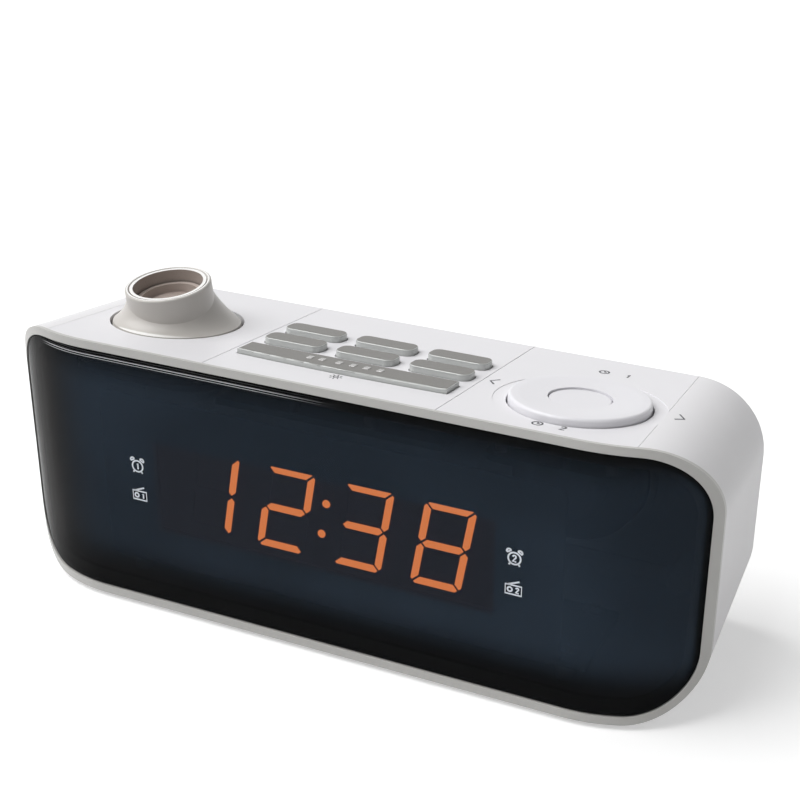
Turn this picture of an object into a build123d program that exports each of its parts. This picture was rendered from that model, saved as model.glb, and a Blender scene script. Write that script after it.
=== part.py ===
from build123d import *
import os
from math import cos, radians, sin, sqrt, tan

os.makedirs("parts", exist_ok=True)

# Projection alarm clock, in millimetres. X runs to the right, Y to the rear and Z up. The origin is the
# centre of the footprint on the surface that the clock stands on.

# ---- Housing form: tapers to the rear, with the ends of the front rolled back ----
depth = 62.0
front_width = 190.0  # between the side planes where they meet the flat of the front
rear_width = 181.4
front_height = 71.3
rear_top_drop = 7.0
rear_base_rise = 4.9
corner_radius = 17.4
rear_edge_radius = 2.0
roll_width = 31.0  # of each rolled end, from the flat of the front to the side plane
roll_radius = 38.2
foot_height = 1.2  # under the front edge
wall = 2.1
seam = 0.2  # between fixed shells
seat_gap = 0.05  # between seated faces
rear_wall = 2.4

# ---- Front: bezel ring and window ----
bezel_face = 2.1  # width of the grey rim
bezel_skin = 1.0  # thickness of the rim where it shows
bezel_lap = 1.1  # the housing wall laps over the bezel by this much
bezel_flange = 3.4  # how far the window's ledge reaches in
bezel_flange_thickness = 1.2
window_thickness = 1.6
window_recess = 0.3
window_gap = 0.1
window_edge_radius = 0.5

# ---- Display ----
display_width = 92.0
display_height = 24.7
display_rise = 35.0  # centre of the display above the front's lower edge
display_mask_thickness = 0.8
display_mask_width = 124.0
display_mask_height = 46.0
display_block_depth = 8.0
board_thickness = 1.6
display_board_border = 5.0
digit_height = 22.5
digit_width = 13.0
digit_slant = 10.0  # degrees
digit_pitch = 20.9
digit_shift = 0.65  # of the middle of the four digits, to the right
digit_lift = 0.95  # of the digits in the display
stroke = 1.75
stroke_gap = 0.45
segment_thickness = 0.3
colon_radius = 1.0
colon_spread = 8.4

# ---- Keys ----
key_length = 15.8
key_width = 6.2
key_end_radius = 2.2
key_rise = 1.6
key_edge_radius = 0.3
key_gap = 0.3
key_pitch = 19.8
key_shift = 0.5  # of the three columns, to the right
key_row_pitch = 10.4
key_row_back = 37.0  # rear row, behind the front edge along the top
key_travel = 0.6
key_flange = 1.0
key_flange_thickness = 1.0
key_stem_radius = 1.5
key_stem_length = 2.0
snooze_length = 55.6
snooze_width = 7.0
snooze_rise = 1.2
snooze_back = 16.3
snooze_bow = 0.8  # how far the middle of its front edge stands forward

# ---- Seams of the top ----
key_panel_width = 61.0
panel_lip = 3.0  # under each neighbour
lip_root = 1.2
ledge_reach = 1.8  # of the housing's ledges under the outer panels

# ---- Switches and the key board ----
switch_size = 6.0
switch_height = 3.5
switch_corner = 0.6
plunger_radius = 1.75
plunger_height = 0.3
plunger_clearance = 0.3  # left at the end of a key's travel
post_radius = 1.3
key_board_width = 60.0
key_board_depth = 39.0
dial_board_size = 33.6
dial_board_corner = 4.0

# ---- Rocker disc and centre button ----
disc_x = 56.0
disc_back = 24.0
disc_radius = 16.45
disc_rise = 1.8
disc_dish = 0.5
disc_skirt = 1.6  # how far the disc reaches below the top face
disc_gap = 0.45
disc_edge_radius = 0.8
disc_tilt = 2.5  # degrees, each way
disc_pivot_drop = 2.0
disc_foot_radius = 1.4
disc_foot_circle = 13.2
button_radius = 7.2
button_rise = 1.1
button_gap = 0.3
button_flange = 1.6
button_flange_thickness = 1.0
spring_inner = 9.9
spring_outer = 11.5
spring_reach = 15.6
spring_arm = 2.4
spring_thickness = 0.8
spring_drop = 3.9
spring_pin = 0.7
lug_circle = 18.7
halo_radius = 20.0  # shallow dished ring round the disc
halo_depth = 0.14

# ---- Projector ----
projector_x = -55.2
projector_back = 28.5
projector_hole = 17.1
projector_pivot_drop = 4.5
swivel_rest = 16.0  # degrees that the head is turned to the left at rest
head_tilt = 12.3  # degrees that the neck leans from the top's normal at rest
nozzle_radius = 11.0
nozzle_bore = 9.9
nozzle_top = 15.0  # above the pivot, along the neck
nozzle_step = 8.6
nozzle_edge_radius = 0.5
neck_root = 5.0  # where the neck starts inside the flare
flare_radius = 16.25  # in the plane of the top face
flare_turn = 20.0  # degrees to the right that the flare's upper edge faces
flare_lean = 20.0  # degrees that its upper edge leans from the top's normal
flare_reach = 11.0  # of its upper edge, above the pivot along the neck
flare_draw = 0.8  # how far it is drawn in at half height
flare_roof = 1.0  # thickness under the edge of the flare
flare_wall = 1.8
dome_radius = 16.65
dome_wall = 1.8
dome_shoulder = 2.6  # above the pivot
dome_skirt = 2.4  # below the pivot
barrel_radius = 10.5
barrel_bore = 8.6
barrel_length = 14.0  # below the pivot
trunnion_radius = 1.4
trunnion_reach = 19.6
running_fit = 0.05
table_inner = 17.15
table_outer = 21.0
table_top_drop = 2.4
table_height = 6.8
clamp_size = 42.0
clamp_corner_radius = 10.0
clamp_hole = 18.2
clamp_thickness = 1.5
clamp_gap = 0.3
clamp_post = 16.2  # half the square that the clamp's posts stand on
clamp_post_radius = 1.6
focus_outer = 9.8
focus_inner = 8.96
focus_top = 14.9
cell_outer = 8.52
cell_inner = 7.4
cell_bottom = 4.1
cell_top = 11.7
cell_ledge = 1.2
lens_cover = 0.8
lens_thickness = 3.4
lens_sphere = 22.0
slide_size = 11.8
slide_thickness = 1.2
slide_seat = -5.0
led_radius = 2.5
led_height = 5.0

# ---- Rear cover, speaker and sockets ----
cover_margin = 4.4
cover_gap = 0.15
cover_flange = 2.2
cover_flange_thickness = 1.4
cover_screw_side = 14.7  # from the side plane at the rear
cover_screw_edge = 4.3  # from the cover's upper and lower edges
boss_radius = 3.4
boss_length = 10.0
screw_radius = 1.3
screw_length = 9.0
screw_head_radius = 2.6
screw_head_height = 1.4
screw_hole_gap = 0.15
speaker_side = 44.7  # from the side plane at the rear
speaker_z = 36.0
speaker_radius = 18.0
speaker_rim = 2.0
speaker_depth = 5.0
speaker_flange_thickness = 1.5
magnet_radius = 9.0
magnet_depth = 7.0
cone_thickness = 0.6
collar_wall = 1.5
slot_width = 1.6
slot_pitch = 3.6
slot_circle = 15.5
jack_side = 28.7  # from the side plane at the rear
jack_z = 20.0
jack_radius = 4.2
jack_bore = 3.1
jack_pin = 1.0
jack_body = 10.0
jack_body_depth = 12.0
gland_pitch = 20.0  # from the jack
gland_radius = 2.6
gland_bore = 0.9
gland_flange = 3.8
gland_flange_thickness = 1.5

# ---- Underside: battery door, cell, feet ----
door_width = 34.0
door_length = 28.0  # from its front edge to the rear
door_lip = 3.4
door_gap = 0.25
tab_x = 12.0
tab_width = 5.0
tab_reach = 1.6  # of the door's hooked tabs above the floor
tab_thickness = 0.8
tab_gap = 0.3
tab_root = 0.9
coin_radius = 10.0
coin_thickness = 3.2
coin_rear = 15.5  # its centre, ahead of the rear
holder_wall = 1.4
holder_gap = 0.25
foot_radius = 5.0
front_foot_side = 27.0  # from the side plane at the front
front_foot_back = 12.0
rear_foot_side = 26.7  # from the side plane at the rear
rear_foot_rear = 11.0  # ahead of the rear
label_width = 60.0
label_depth = 14.0
label_back = 20.0
label_recess = 0.3

# ---- Main board ----
main_board_width = 132.0
main_board_depth = 24.0
main_board_back = 22.0
main_board_lift = 6.5
main_post_margin = 6.0  # from the board's ends
main_post_inset = 3.0  # from its long edges
main_post_radius = 2.6
chip_places = (-30.0, 14.0)
chip_size = 11.0
chip_thickness = 1.8
capacitor_places = (-46.0, 36.0, 48.0)
capacitor_radius = 4.0
capacitor_height = 9.5

# ---- Derived places ----
front_y = -depth / 2
top_slope = rear_top_drop / depth
base_slope = rear_base_rise / depth
side_slope = (front_width - rear_width) / 2 / depth
front_flat = front_width - 2 * roll_width
cover_screw_x = rear_width / 2 - cover_screw_side
speaker_x = rear_width / 2 - speaker_side
jack_x = jack_side - rear_width / 2
gland_x = jack_x + gland_pitch
door_front = depth - door_length
coin_back = depth - coin_rear
front_foot_x = front_width / 2 - front_foot_side
rear_foot_x = rear_width / 2 - rear_foot_side
rear_foot_back = depth - rear_foot_rear
main_post_x = main_board_width / 2 - main_post_margin
main_post_pitch = main_board_depth - 2 * main_post_inset
reach = front_width  # longer than any half of the housing
lead = 4.0  # the form starts this far ahead of the front, and is then cut back to it
top_plane = Plane(origin=(0, front_y, foot_height + front_height), x_dir=(1, 0, 0), z_dir=(0, top_slope, 1))
base_plane = Plane(origin=(0, front_y, foot_height), x_dir=(1, 0, 0), z_dir=(0, -base_slope, 1))


def standing(back):
    """Upright plane across the clock, this far behind the front, with its normal to the front."""
    return Plane.XZ.offset(depth / 2 - back)


def on_top(x, back, height=0.0):
    """Plane parallel to the top face, at a place measured along it."""
    return Plane(top_plane.from_local_coords((x, back, height)), x_dir=(1, 0, 0), z_dir=top_plane.z_dir)


def on_base(x, back, height=0.0):
    """Plane parallel to the underside, at a place measured along it."""
    return Plane(base_plane.from_local_coords((x, back, height)), x_dir=(1, 0, 0), z_dir=base_plane.z_dir)


def half_width(back, inset=0.0):
    """Half the housing's width this far behind the front."""
    return front_width / 2 - side_slope * back - inset


def form(inset=0.0, rear_inset=0.0, round_rear=False):
    """The housing's outer form moved inwards by inset, starting a little ahead of the front."""
    stop = depth - rear_inset
    low, high = foot_height + inset, foot_height + front_height - inset
    with BuildPart() as shape:
        with BuildSketch(Plane.YZ):
            with BuildLine():
                Polyline(
                    (front_y - lead, low - base_slope * lead),
                    (front_y + stop, low + base_slope * stop),
                    (front_y + stop, high - top_slope * stop),
                    (front_y - lead, high + top_slope * lead),
                    close=True,
                )
            make_face()
        extrude(amount=reach, both=True)
        with BuildSketch(Plane.XY):
            with BuildLine():
                Polyline(
                    (half_width(-lead, inset), front_y - lead),
                    (half_width(stop, inset), front_y + stop),
                    (-half_width(stop, inset), front_y + stop),
                    (-half_width(-lead, inset), front_y - lead),
                    close=True,
                )
            make_face()
        extrude(amount=reach, mode=Mode.INTERSECT)
        corners = shape.edges().filter_by(lambda edge: abs((edge @ 1 - edge @ 0).Y) > depth / 2)
        fillet(corners, corner_radius - inset)
        if round_rear:
            fillet(shape.edges().group_by(Axis.Y)[-1], rear_edge_radius)
    return shape.part


def ahead(offset):
    """All the space ahead of the front surface moved rearwards by offset."""
    radius = roll_radius - offset
    centre_y = front_y + roll_radius
    with BuildPart() as zone:
        with BuildSketch(Plane.XY.offset(-front_height)):
            with BuildLine():
                right = CenterArc((front_flat / 2, centre_y), radius, -90, 90)
                left = CenterArc((-front_flat / 2, centre_y), radius, -180, 90)
                Line(left @ 1, right @ 0)
                Polyline(
                    right @ 1,
                    (reach, centre_y),
                    (reach, front_y - depth),
                    (-reach, front_y - depth),
                    (-reach, centre_y),
                    left @ 0,
                )
            make_face()
        extrude(amount=4 * front_height)
    return zone.part


def layer(shape, near, far):
    """The part of shape between two offsets behind the front surface."""
    with BuildPart() as piece:
        add(shape)
        add(ahead(near), mode=Mode.SUBTRACT)
        add(ahead(far), mode=Mode.INTERSECT)
    return piece.part


def save(piece, name):
    """Labels a finished piece and writes it under its node's name."""
    piece.label = name
    export_step(piece, f"parts/{name}.step")


# ---- The hollow skin that the shells are cut from ----
outer_form = form(round_rear=True)
lap_depth = window_recess + window_thickness + bezel_flange_thickness + 0.2
flange_near = window_recess + window_thickness + seat_gap
with BuildPart() as skin:
    add(outer_form)
    add(form(wall, rear_wall), mode=Mode.SUBTRACT)
    add(ahead(bezel_skin + seat_gap), mode=Mode.SUBTRACT)
    add(layer(form(bezel_lap - seat_gap), -lead / 2, lap_depth), mode=Mode.SUBTRACT)


def panel_zone(left, right, height_low, grow=0.0):
    """Space over the top between two shares of the flat top's width, -1 for its left edge and 1 for its right."""
    front_half = half_width(0) - corner_radius - 0.4
    rear_half = half_width(depth) - corner_radius - 0.4

    def edge(share, half):
        return share * half if abs(share) == 1 else share * key_panel_width / 2

    with BuildPart() as zone:
        with BuildSketch(on_top(0, 0, height_low)):
            with BuildLine():
                Polyline(
                    (edge(left, front_half) - grow, -lead),
                    (edge(right, front_half) + grow, -lead),
                    (edge(right, rear_half) + grow, depth + lead),
                    (edge(left, rear_half) - grow, depth + lead),
                    close=True,
                )
            make_face()
        extrude(amount=reach / 4)
    return zone.part


# A share just inside 1 stands for a seam of the key panel.
seam_share = 1 - seam / key_panel_width

# ---- Rear cover opening and battery door, as cutting forms ----
cover_low = foot_height + rear_base_rise + cover_margin
cover_high = foot_height + front_height - rear_top_drop - cover_margin
cover_middle = (cover_low + cover_high) / 2
cover_screw_z = (cover_high - cover_low) / 2 - cover_screw_edge


def cover_zone(gap, near=depth - 12, far=depth + 4):
    """Block through the rear wall, as wide and high as the cover's opening less gap."""
    width = 2 * (half_width(depth) - cover_margin - gap)
    with BuildPart() as zone:
        with BuildSketch(standing(far)):
            with Locations((0, cover_middle)):
                RectangleRounded(width, cover_high - cover_low - 2 * gap, corner_radius - cover_margin - gap)
        extrude(amount=far - near)
    return zone.part


def door_zone(gap):
    """Block through the underside and the rear edge, as large as the door's opening less gap."""
    with BuildPart() as zone:
        with BuildSketch(on_base(0, 0, -lead)):
            with Locations((0, (door_front + depth + lead) / 2 + gap)):
                Rectangle(door_width - 2 * gap, depth + lead - door_front)
        extrude(amount=lead + door_lip - gap)
    return zone.part


board_post_places = [
    (x, main_board_back + y)
    for x in (-main_post_x, main_post_x)
    for y in (-main_post_pitch / 2, main_post_pitch / 2)
]
cover_screw_places = [
    (x, cover_middle + z) for x in (-cover_screw_x, cover_screw_x) for z in (-cover_screw_z, cover_screw_z)
]

# ---- Housing shell ----
boss_end = depth - rear_wall - cover_flange_thickness - 0.3
with BuildPart() as inner_ribs:
    # Ledges under the outer edges of the top panels
    for side in (-1, 1):
        for back, length in ((8.6, 2.6), (53.0, 8.0)):
            panel_edge = half_width(back) - corner_radius - 0.4
            with BuildSketch(on_top(side * (panel_edge + 1.2 - ledge_reach / 2), back, -wall - 2.2)):
                Rectangle(ledge_reach + 2.4, length)
            extrude(amount=2.2 - seat_gap)
            with BuildSketch(on_top(side * (panel_edge + 1.4), back, -wall - 0.3)):
                Rectangle(2.0, length)
            extrude(amount=1.3)
    # Ribs that carry the screw bosses
    for x, z in cover_screw_places:
        with BuildSketch(standing(boss_end)):
            with Locations((x + 8.0 * x / abs(x), z)):
                Rectangle(16.0, 2.0)
        extrude(amount=boss_length)
    add(form(0.8), mode=Mode.INTERSECT)

with BuildPart() as housing_shell:
    add(skin.part)
    add(panel_zone(-1, 1, -wall - seat_gap), mode=Mode.SUBTRACT)
    add(cover_zone(0), mode=Mode.SUBTRACT)
    add(door_zone(0), mode=Mode.SUBTRACT)
    add(inner_ribs.part)
    # Posts of the main board, and bosses of the rear cover's screws
    for x, back in board_post_places:
        with BuildSketch(on_base(x, back, wall / 2)):
            Circle(main_post_radius)
        extrude(amount=main_board_lift - wall / 2)
    with BuildSketch(standing(boss_end)):
        with Locations(*cover_screw_places):
            Circle(boss_radius)
    extrude(amount=boss_length)
    with BuildSketch(standing(boss_end)):
        with Locations(*cover_screw_places):
            Circle(screw_radius + screw_hole_gap)
    extrude(amount=boss_length - 1.5, mode=Mode.SUBTRACT)
    for x, back in board_post_places:
        with BuildSketch(on_base(x, back, main_board_lift)):
            Circle(screw_radius + screw_hole_gap)
        extrude(amount=-main_board_lift + wall, mode=Mode.SUBTRACT)
    # Bare recess on the underside
    with BuildSketch(on_base(0, label_back, label_recess)):
        RectangleRounded(label_width, label_depth, 1.5)
    extrude(amount=-lead, mode=Mode.SUBTRACT)
save(housing_shell.part, "housing_shell")

# ---- Front bezel: the rim that shows, a lap behind the housing wall, and the window's ledge ----
with BuildPart() as bezel_rim:
    add(form())
    add(form(bezel_face), mode=Mode.SUBTRACT)
with BuildPart() as bezel_lap_ring:
    add(form(bezel_lap))
    add(form(bezel_face), mode=Mode.SUBTRACT)
with BuildPart() as bezel_ledge:
    add(form(bezel_lap))
    add(form(bezel_face + bezel_flange), mode=Mode.SUBTRACT)
with BuildPart() as front_bezel:
    add(layer(bezel_rim.part, 0, bezel_skin))
    add(layer(bezel_lap_ring.part, bezel_skin / 2, flange_near + bezel_flange_thickness))
    add(layer(bezel_ledge.part, flange_near, flange_near + bezel_flange_thickness))
save(front_bezel.part, "front_bezel")

# ---- Window ----


def behind_front(point):
    """How far a point lies behind the front surface."""
    sideways = abs(point.X) - front_flat / 2
    if sideways <= 0:
        return point.Y - front_y
    return roll_radius - sqrt(sideways**2 + (point.Y - front_y - roll_radius) ** 2)


def on_layer(edge, offset):
    """True for an edge of the rim at this offset, and not for the lines where the flat of the front ends."""
    near = all(abs(behind_front(edge @ share) - offset) < 0.02 for share in (0, 0.5, 1))
    return near and abs(abs((edge @ 0.5).X) - front_flat / 2) > 0.01


with BuildPart() as front_window:
    add(layer(form(bezel_face + window_gap), window_recess, window_recess + window_thickness))
    fillet(front_window.edges().filter_by(lambda edge: on_layer(edge, window_recess)), window_edge_radius)
save(front_window.part, "front_window")

# ---- Top panels ----


def top_panel(left, right):
    """One panel of the top, cut from the skin."""
    with BuildPart() as panel:
        add(skin.part)
        add(panel_zone(left, right, -wall, -seam / 2), mode=Mode.INTERSECT)
    return panel.part


def lip_under_seam(side):
    """Strip that carries the neighbouring panel, on the key panel's side of a seam."""
    lip_middle = side * (key_panel_width + panel_lip - lip_root) / 2
    with BuildPart() as lip:
        with BuildSketch(on_top(lip_middle, depth / 2, -wall - 1.6)):
            Rectangle(panel_lip + lip_root, depth - 12)
        extrude(amount=1.6 - seat_gap)
        with BuildSketch(on_top(side * (key_panel_width - seam - lip_root) / 2, depth / 2, -wall - 0.2)):
            Rectangle(lip_root, depth - 12)
        extrude(amount=1.0)
    return lip.part


key_columns = {"left": key_shift - key_pitch, "middle": key_shift, "right": key_shift + key_pitch}
key_rows = {"back": key_row_back, "front": key_row_back - key_row_pitch}
key_places = {
    f"key_{row}_{column}": (x, back) for row, back in key_rows.items() for column, x in key_columns.items()
}
key_post_places = [
    (key_shift + x, back)
    for x in (-key_pitch / 2, key_pitch / 2)
    for back in (key_row_back + 6.5, snooze_back - 7.3)
]
stem_end = -wall - key_gap - key_flange_thickness - key_stem_length
plunger_top = stem_end - key_travel - plunger_clearance
board_top = plunger_top - plunger_height - switch_height


def key_outline(grow=0.0):
    """Outline of a small key."""
    RectangleRounded(key_length + 2 * grow, key_width + 2 * grow, key_end_radius + grow)


def snooze_outline(grow=0.0):
    """Outline of the snooze bar, straight behind and bowed in front."""
    half, back, front = snooze_length / 2 + grow, snooze_width / 2 + grow, -snooze_width / 2 - grow
    with BuildLine() as outline:
        Polyline((half, front), (half, back), (-half, back), (-half, front))
        ThreePointArc((-half, front), (0, front - snooze_bow), (half, front))
    make_face(outline.edges())


with BuildPart() as key_panel:
    add(top_panel(-seam_share, seam_share))
    for side in (-1, 1):
        add(lip_under_seam(side))
    for x, back in key_places.values():
        with BuildSketch(on_top(x, back, -wall - 2)):
            key_outline(key_gap)
        extrude(amount=wall + 3, mode=Mode.SUBTRACT)
    with BuildSketch(on_top(0, snooze_back, -wall - 2)):
        snooze_outline(key_gap)
    extrude(amount=wall + 3, mode=Mode.SUBTRACT)
    for x, back in key_post_places:
        with BuildSketch(on_top(x, back, board_top)):
            Circle(post_radius)
        extrude(amount=-board_top - wall / 2)
save(key_panel.part, "key_panel")

# ---- Keys ----


def key_solid(outline, x, back, rise, stems):
    """A key cap with its retaining flange and stems."""
    with BuildPart() as key:
        with BuildSketch(on_top(x, back, -wall - key_gap)):
            outline()
        extrude(amount=wall + key_gap + rise)
        fillet(key.faces().sort_by(Axis.Z)[-1].edges(), key_edge_radius)
        with BuildSketch(on_top(x, back, -wall - key_gap - key_flange_thickness)):
            outline(key_flange)
        extrude(amount=key_flange_thickness)
        for stem_x in stems:
            with BuildSketch(on_top(x + stem_x, back, stem_end)):
                Circle(key_stem_radius)
            extrude(amount=key_stem_length)
    return key.part


for name, (x, back) in key_places.items():
    save(key_solid(key_outline, x, back, key_rise, [0]), name)
snooze_stems = [-key_pitch, key_pitch]
save(key_solid(snooze_outline, 0, snooze_back, snooze_rise, snooze_stems), "snooze_bar")

# ---- Dial panel, rocker disc, its spring plate and the centre button ----
disc_bottom = -disc_skirt
foot_end = plunger_top + plunger_clearance + (disc_foot_circle + disc_foot_radius) * sin(radians(disc_tilt))
with BuildPart() as dial_panel:
    add(top_panel(seam_share, 1))
    with BuildSketch(on_top(disc_x, disc_back, -halo_depth)):
        Circle(halo_radius)
    extrude(amount=2, mode=Mode.SUBTRACT)
    with BuildSketch(on_top(disc_x, disc_back, -wall - 2)):
        Circle(disc_radius + disc_gap)
    extrude(amount=wall + 4, mode=Mode.SUBTRACT)
    # Four lugs that carry the spring plate's arms and the dial board
    for angle in (45, 135, 225, 315):
        lug_x = disc_x + lug_circle * cos(radians(angle))
        lug_y = disc_back + lug_circle * sin(radians(angle))
        with BuildSketch(on_top(lug_x, lug_y, board_top)):
            Circle(post_radius)
        extrude(amount=-board_top - wall / 2)
save(dial_panel.part, "dial_panel")

with BuildPart() as rocker_disc:
    with BuildSketch(on_top(disc_x, disc_back, disc_bottom)):
        Circle(disc_radius)
    extrude(amount=disc_rise - disc_bottom)
    fillet(rocker_disc.faces().sort_by(Axis.Z)[-1].edges(), disc_edge_radius)
    # Shallow dish, part of a large sphere
    dish_chord = disc_radius - 2.4
    dish_sphere = (dish_chord**2 + disc_dish**2) / (2 * disc_dish)
    dish_centre = top_plane.from_local_coords((disc_x, disc_back, disc_rise - disc_dish + dish_sphere))
    add(Pos(dish_centre) * Sphere(dish_sphere, mode=Mode.PRIVATE), mode=Mode.SUBTRACT)
    with BuildSketch(on_top(disc_x, disc_back, disc_bottom)):
        Circle(button_radius + button_gap)
    extrude(amount=8, mode=Mode.SUBTRACT)
    with BuildSketch(on_top(disc_x, disc_back, foot_end)):
        with PolarLocations(disc_foot_circle, 4):
            Circle(disc_foot_radius)
    extrude(amount=disc_bottom - foot_end + 0.2)
save(rocker_disc.part, "rocker_disc")

with BuildPart() as rocker_spring:
    with BuildSketch(on_top(disc_x, disc_back, -spring_drop - spring_thickness)):
        Circle(spring_outer)
        with PolarLocations((spring_outer + spring_reach) / 2 - 0.5, 4, start_angle=45):
            Rectangle(spring_reach - spring_outer + 1, spring_arm)
        Circle(spring_inner, mode=Mode.SUBTRACT)
    extrude(amount=spring_thickness)
    with BuildSketch(on_top(disc_x, disc_back, -spring_drop)):
        with PolarLocations((spring_inner + spring_outer) / 2, 4, start_angle=45):
            Circle(spring_pin)
    extrude(amount=spring_drop - disc_skirt - spring_pin)
save(rocker_spring.part, "rocker_spring")

button_flange_top = disc_bottom - 0.4
button_stem_end = plunger_top + key_travel + plunger_clearance
with BuildPart() as centre_button:
    with BuildSketch(on_top(disc_x, disc_back, button_flange_top)):
        Circle(button_radius)
    extrude(amount=button_rise - button_flange_top)
    fillet(centre_button.faces().sort_by(Axis.Z)[-1].edges(), key_edge_radius)
    with BuildSketch(on_top(disc_x, disc_back, button_flange_top - button_flange_thickness)):
        Circle(button_radius + button_flange)
    extrude(amount=button_flange_thickness)
    with BuildSketch(on_top(disc_x, disc_back, button_stem_end)):
        Circle(key_stem_radius)
    extrude(amount=button_flange_top - button_flange_thickness - button_stem_end)
save(centre_button.part, "centre_button")

# ---- Key board and dial board, with their switches ----
key_board_middle = (key_post_places[0][1] + key_post_places[1][1]) / 2
with BuildPart() as key_board:
    with BuildSketch(on_top(0, key_board_middle, board_top)):
        Rectangle(key_board_width, key_board_depth)
    extrude(amount=-board_thickness)
save(key_board.part, "key_board")

with BuildPart() as dial_board:
    with BuildSketch(on_top(disc_x, disc_back, board_top)):
        RectangleRounded(dial_board_size, dial_board_size, dial_board_corner)
    extrude(amount=-board_thickness)
save(dial_board.part, "dial_board")


def switches(places):
    """Tact switches at places on the top's plane."""
    with BuildPart() as group:
        for x, back in places:
            with BuildSketch(on_top(x, back, board_top)):
                RectangleRounded(switch_size, switch_size, switch_corner)
            extrude(amount=switch_height)
            with BuildSketch(on_top(x, back, board_top + switch_height)):
                Circle(plunger_radius)
            extrude(amount=plunger_height)
    return group.part


key_switch_places = list(key_places.values()) + [(x, snooze_back) for x in snooze_stems]
save(switches(key_switch_places), "key_switches")
dial_switch_places = [(disc_x, disc_back)] + [
    (disc_x + disc_foot_circle * cos(radians(angle)), disc_back + disc_foot_circle * sin(radians(angle)))
    for angle in (0, 90, 180, 270)
]
save(switches(dial_switch_places), "dial_switches")

# ---- Projector panel, clamp, turntable ----
table_bottom = -table_top_drop - table_height
clamp_top = table_bottom - clamp_gap
clamp_post_places = [(x, y) for x in (-clamp_post, clamp_post) for y in (-clamp_post, clamp_post)]
with BuildPart() as projector_panel:
    add(top_panel(-1, -seam_share))
    with BuildSketch(on_top(projector_x, projector_back, -wall - 2)):
        Circle(projector_hole)
    extrude(amount=wall + 4, mode=Mode.SUBTRACT)
    for x, y in clamp_post_places:
        with BuildSketch(on_top(projector_x + x, projector_back + y, clamp_top)):
            Circle(clamp_post_radius)
        extrude(amount=-clamp_top - wall / 2)
save(projector_panel.part, "projector_panel")

with BuildPart() as projector_clamp:
    with BuildSketch(on_top(projector_x, projector_back, clamp_top - clamp_thickness)):
        RectangleRounded(clamp_size, clamp_size, clamp_corner_radius)
        Circle(clamp_hole, mode=Mode.SUBTRACT)
    extrude(amount=clamp_thickness)
save(projector_clamp.part, "projector_clamp")

pivot = on_top(projector_x, projector_back, -projector_pivot_drop)
turret = Plane(pivot.location * Rotation(0, 0, -swivel_rest))
head_plane = Plane(turret.location * Rotation(head_tilt, 0, 0))
trunnion_plane = Plane(turret.origin, x_dir=turret.y_dir, z_dir=turret.x_dir)
with BuildPart() as projector_turntable:
    with BuildSketch(on_top(projector_x, projector_back, table_bottom)):
        Circle(table_outer)
        Circle(table_inner, mode=Mode.SUBTRACT)
    extrude(amount=table_height)
    with BuildSketch(trunnion_plane):
        Circle(trunnion_radius + running_fit)
    extrude(amount=table_outer + 1, both=True, mode=Mode.SUBTRACT)
save(projector_turntable.part, "projector_turntable")

# ---- Projector head: dome, flare, leaning neck and barrel in one, with its two trunnions ----
turret_section = Plane(turret.origin, x_dir=turret.x_dir, z_dir=-turret.y_dir)
turret_axis = Axis(turret.origin, turret.z_dir)
head_section = Plane(head_plane.origin, x_dir=head_plane.x_dir, z_dir=-head_plane.y_dir)
head_axis = Axis(head_plane.origin, head_plane.z_dir)
flare_low = projector_pivot_drop
flare_foot = Plane(pivot.location * Rotation(0, 0, flare_turn)).offset(flare_low)
with BuildPart() as projector_head:
    # Dome, level at rest
    with BuildSketch(turret_section):
        Polygon(
            (0, -dome_skirt),
            (dome_radius, -dome_skirt),
            (dome_radius, dome_shoulder),
            (flare_radius, flare_low),
            (0, flare_low),
            align=None,
        )
    revolve(axis=turret_axis)
    # Flare: circles that draw in from the dome to a slanting edge round the neck
    for share, draw in ((0.0, 0.0), (0.5, flare_draw), (1.0, 0.0)):
        middle = flare_foot.origin * (1 - share) + (head_plane.origin + head_plane.z_dir * flare_reach) * share
        level = Plane(middle, x_dir=flare_foot.x_dir, z_dir=flare_foot.z_dir)
        with BuildSketch(Plane(level.location * Rotation(share * flare_lean, 0, 0))):
            Circle(flare_radius + (nozzle_radius - flare_radius) * share - draw)
    loft()
    with BuildSketch(head_section):
        with BuildLine():
            Polyline(
                (nozzle_radius, nozzle_top - nozzle_edge_radius),
                (nozzle_radius, neck_root),
                (0, neck_root),
                (0, nozzle_top),
                (nozzle_radius - nozzle_edge_radius, nozzle_top),
            )
            RadiusArc(
                (nozzle_radius - nozzle_edge_radius, nozzle_top),
                (nozzle_radius, nozzle_top - nozzle_edge_radius),
                nozzle_edge_radius,
            )
        make_face()
    revolve(axis=head_axis)
    # Hollow of the dome, and the barrel through it
    with BuildSketch(turret_section):
        Polygon(
            (0, -dome_skirt - 1),
            (dome_radius - dome_wall, -dome_skirt - 1),
            (dome_radius - dome_wall, dome_shoulder),
            (flare_radius - flare_wall, flare_low - flare_roof),
            (0, flare_low - flare_roof),
            align=None,
        )
    revolve(axis=turret_axis, mode=Mode.SUBTRACT)
    with BuildSketch(head_plane.offset(-barrel_length)):
        Circle(barrel_radius)
    extrude(amount=barrel_length + nozzle_step)
    with BuildSketch(head_section):
        Polygon(
            (0, -barrel_length - 1),
            (barrel_bore, -barrel_length - 1),
            (barrel_bore, nozzle_step),
            (nozzle_bore, nozzle_step),
            (nozzle_bore, nozzle_top - 0.3),
            (nozzle_bore + 0.3, nozzle_top),
            (nozzle_bore + 0.3, nozzle_top + 1),
            (0, nozzle_top + 1),
            align=None,
        )
    revolve(axis=head_axis, mode=Mode.SUBTRACT)
    for side in (-1, 1):
        outwards = Plane(turret.origin, x_dir=turret.y_dir, z_dir=turret.x_dir * side)
        with BuildSketch(outwards.offset(barrel_radius - 0.6)):
            Circle(trunnion_radius)
        extrude(amount=trunnion_reach - barrel_radius + 0.6)
save(projector_head.part, "projector_head")

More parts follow.
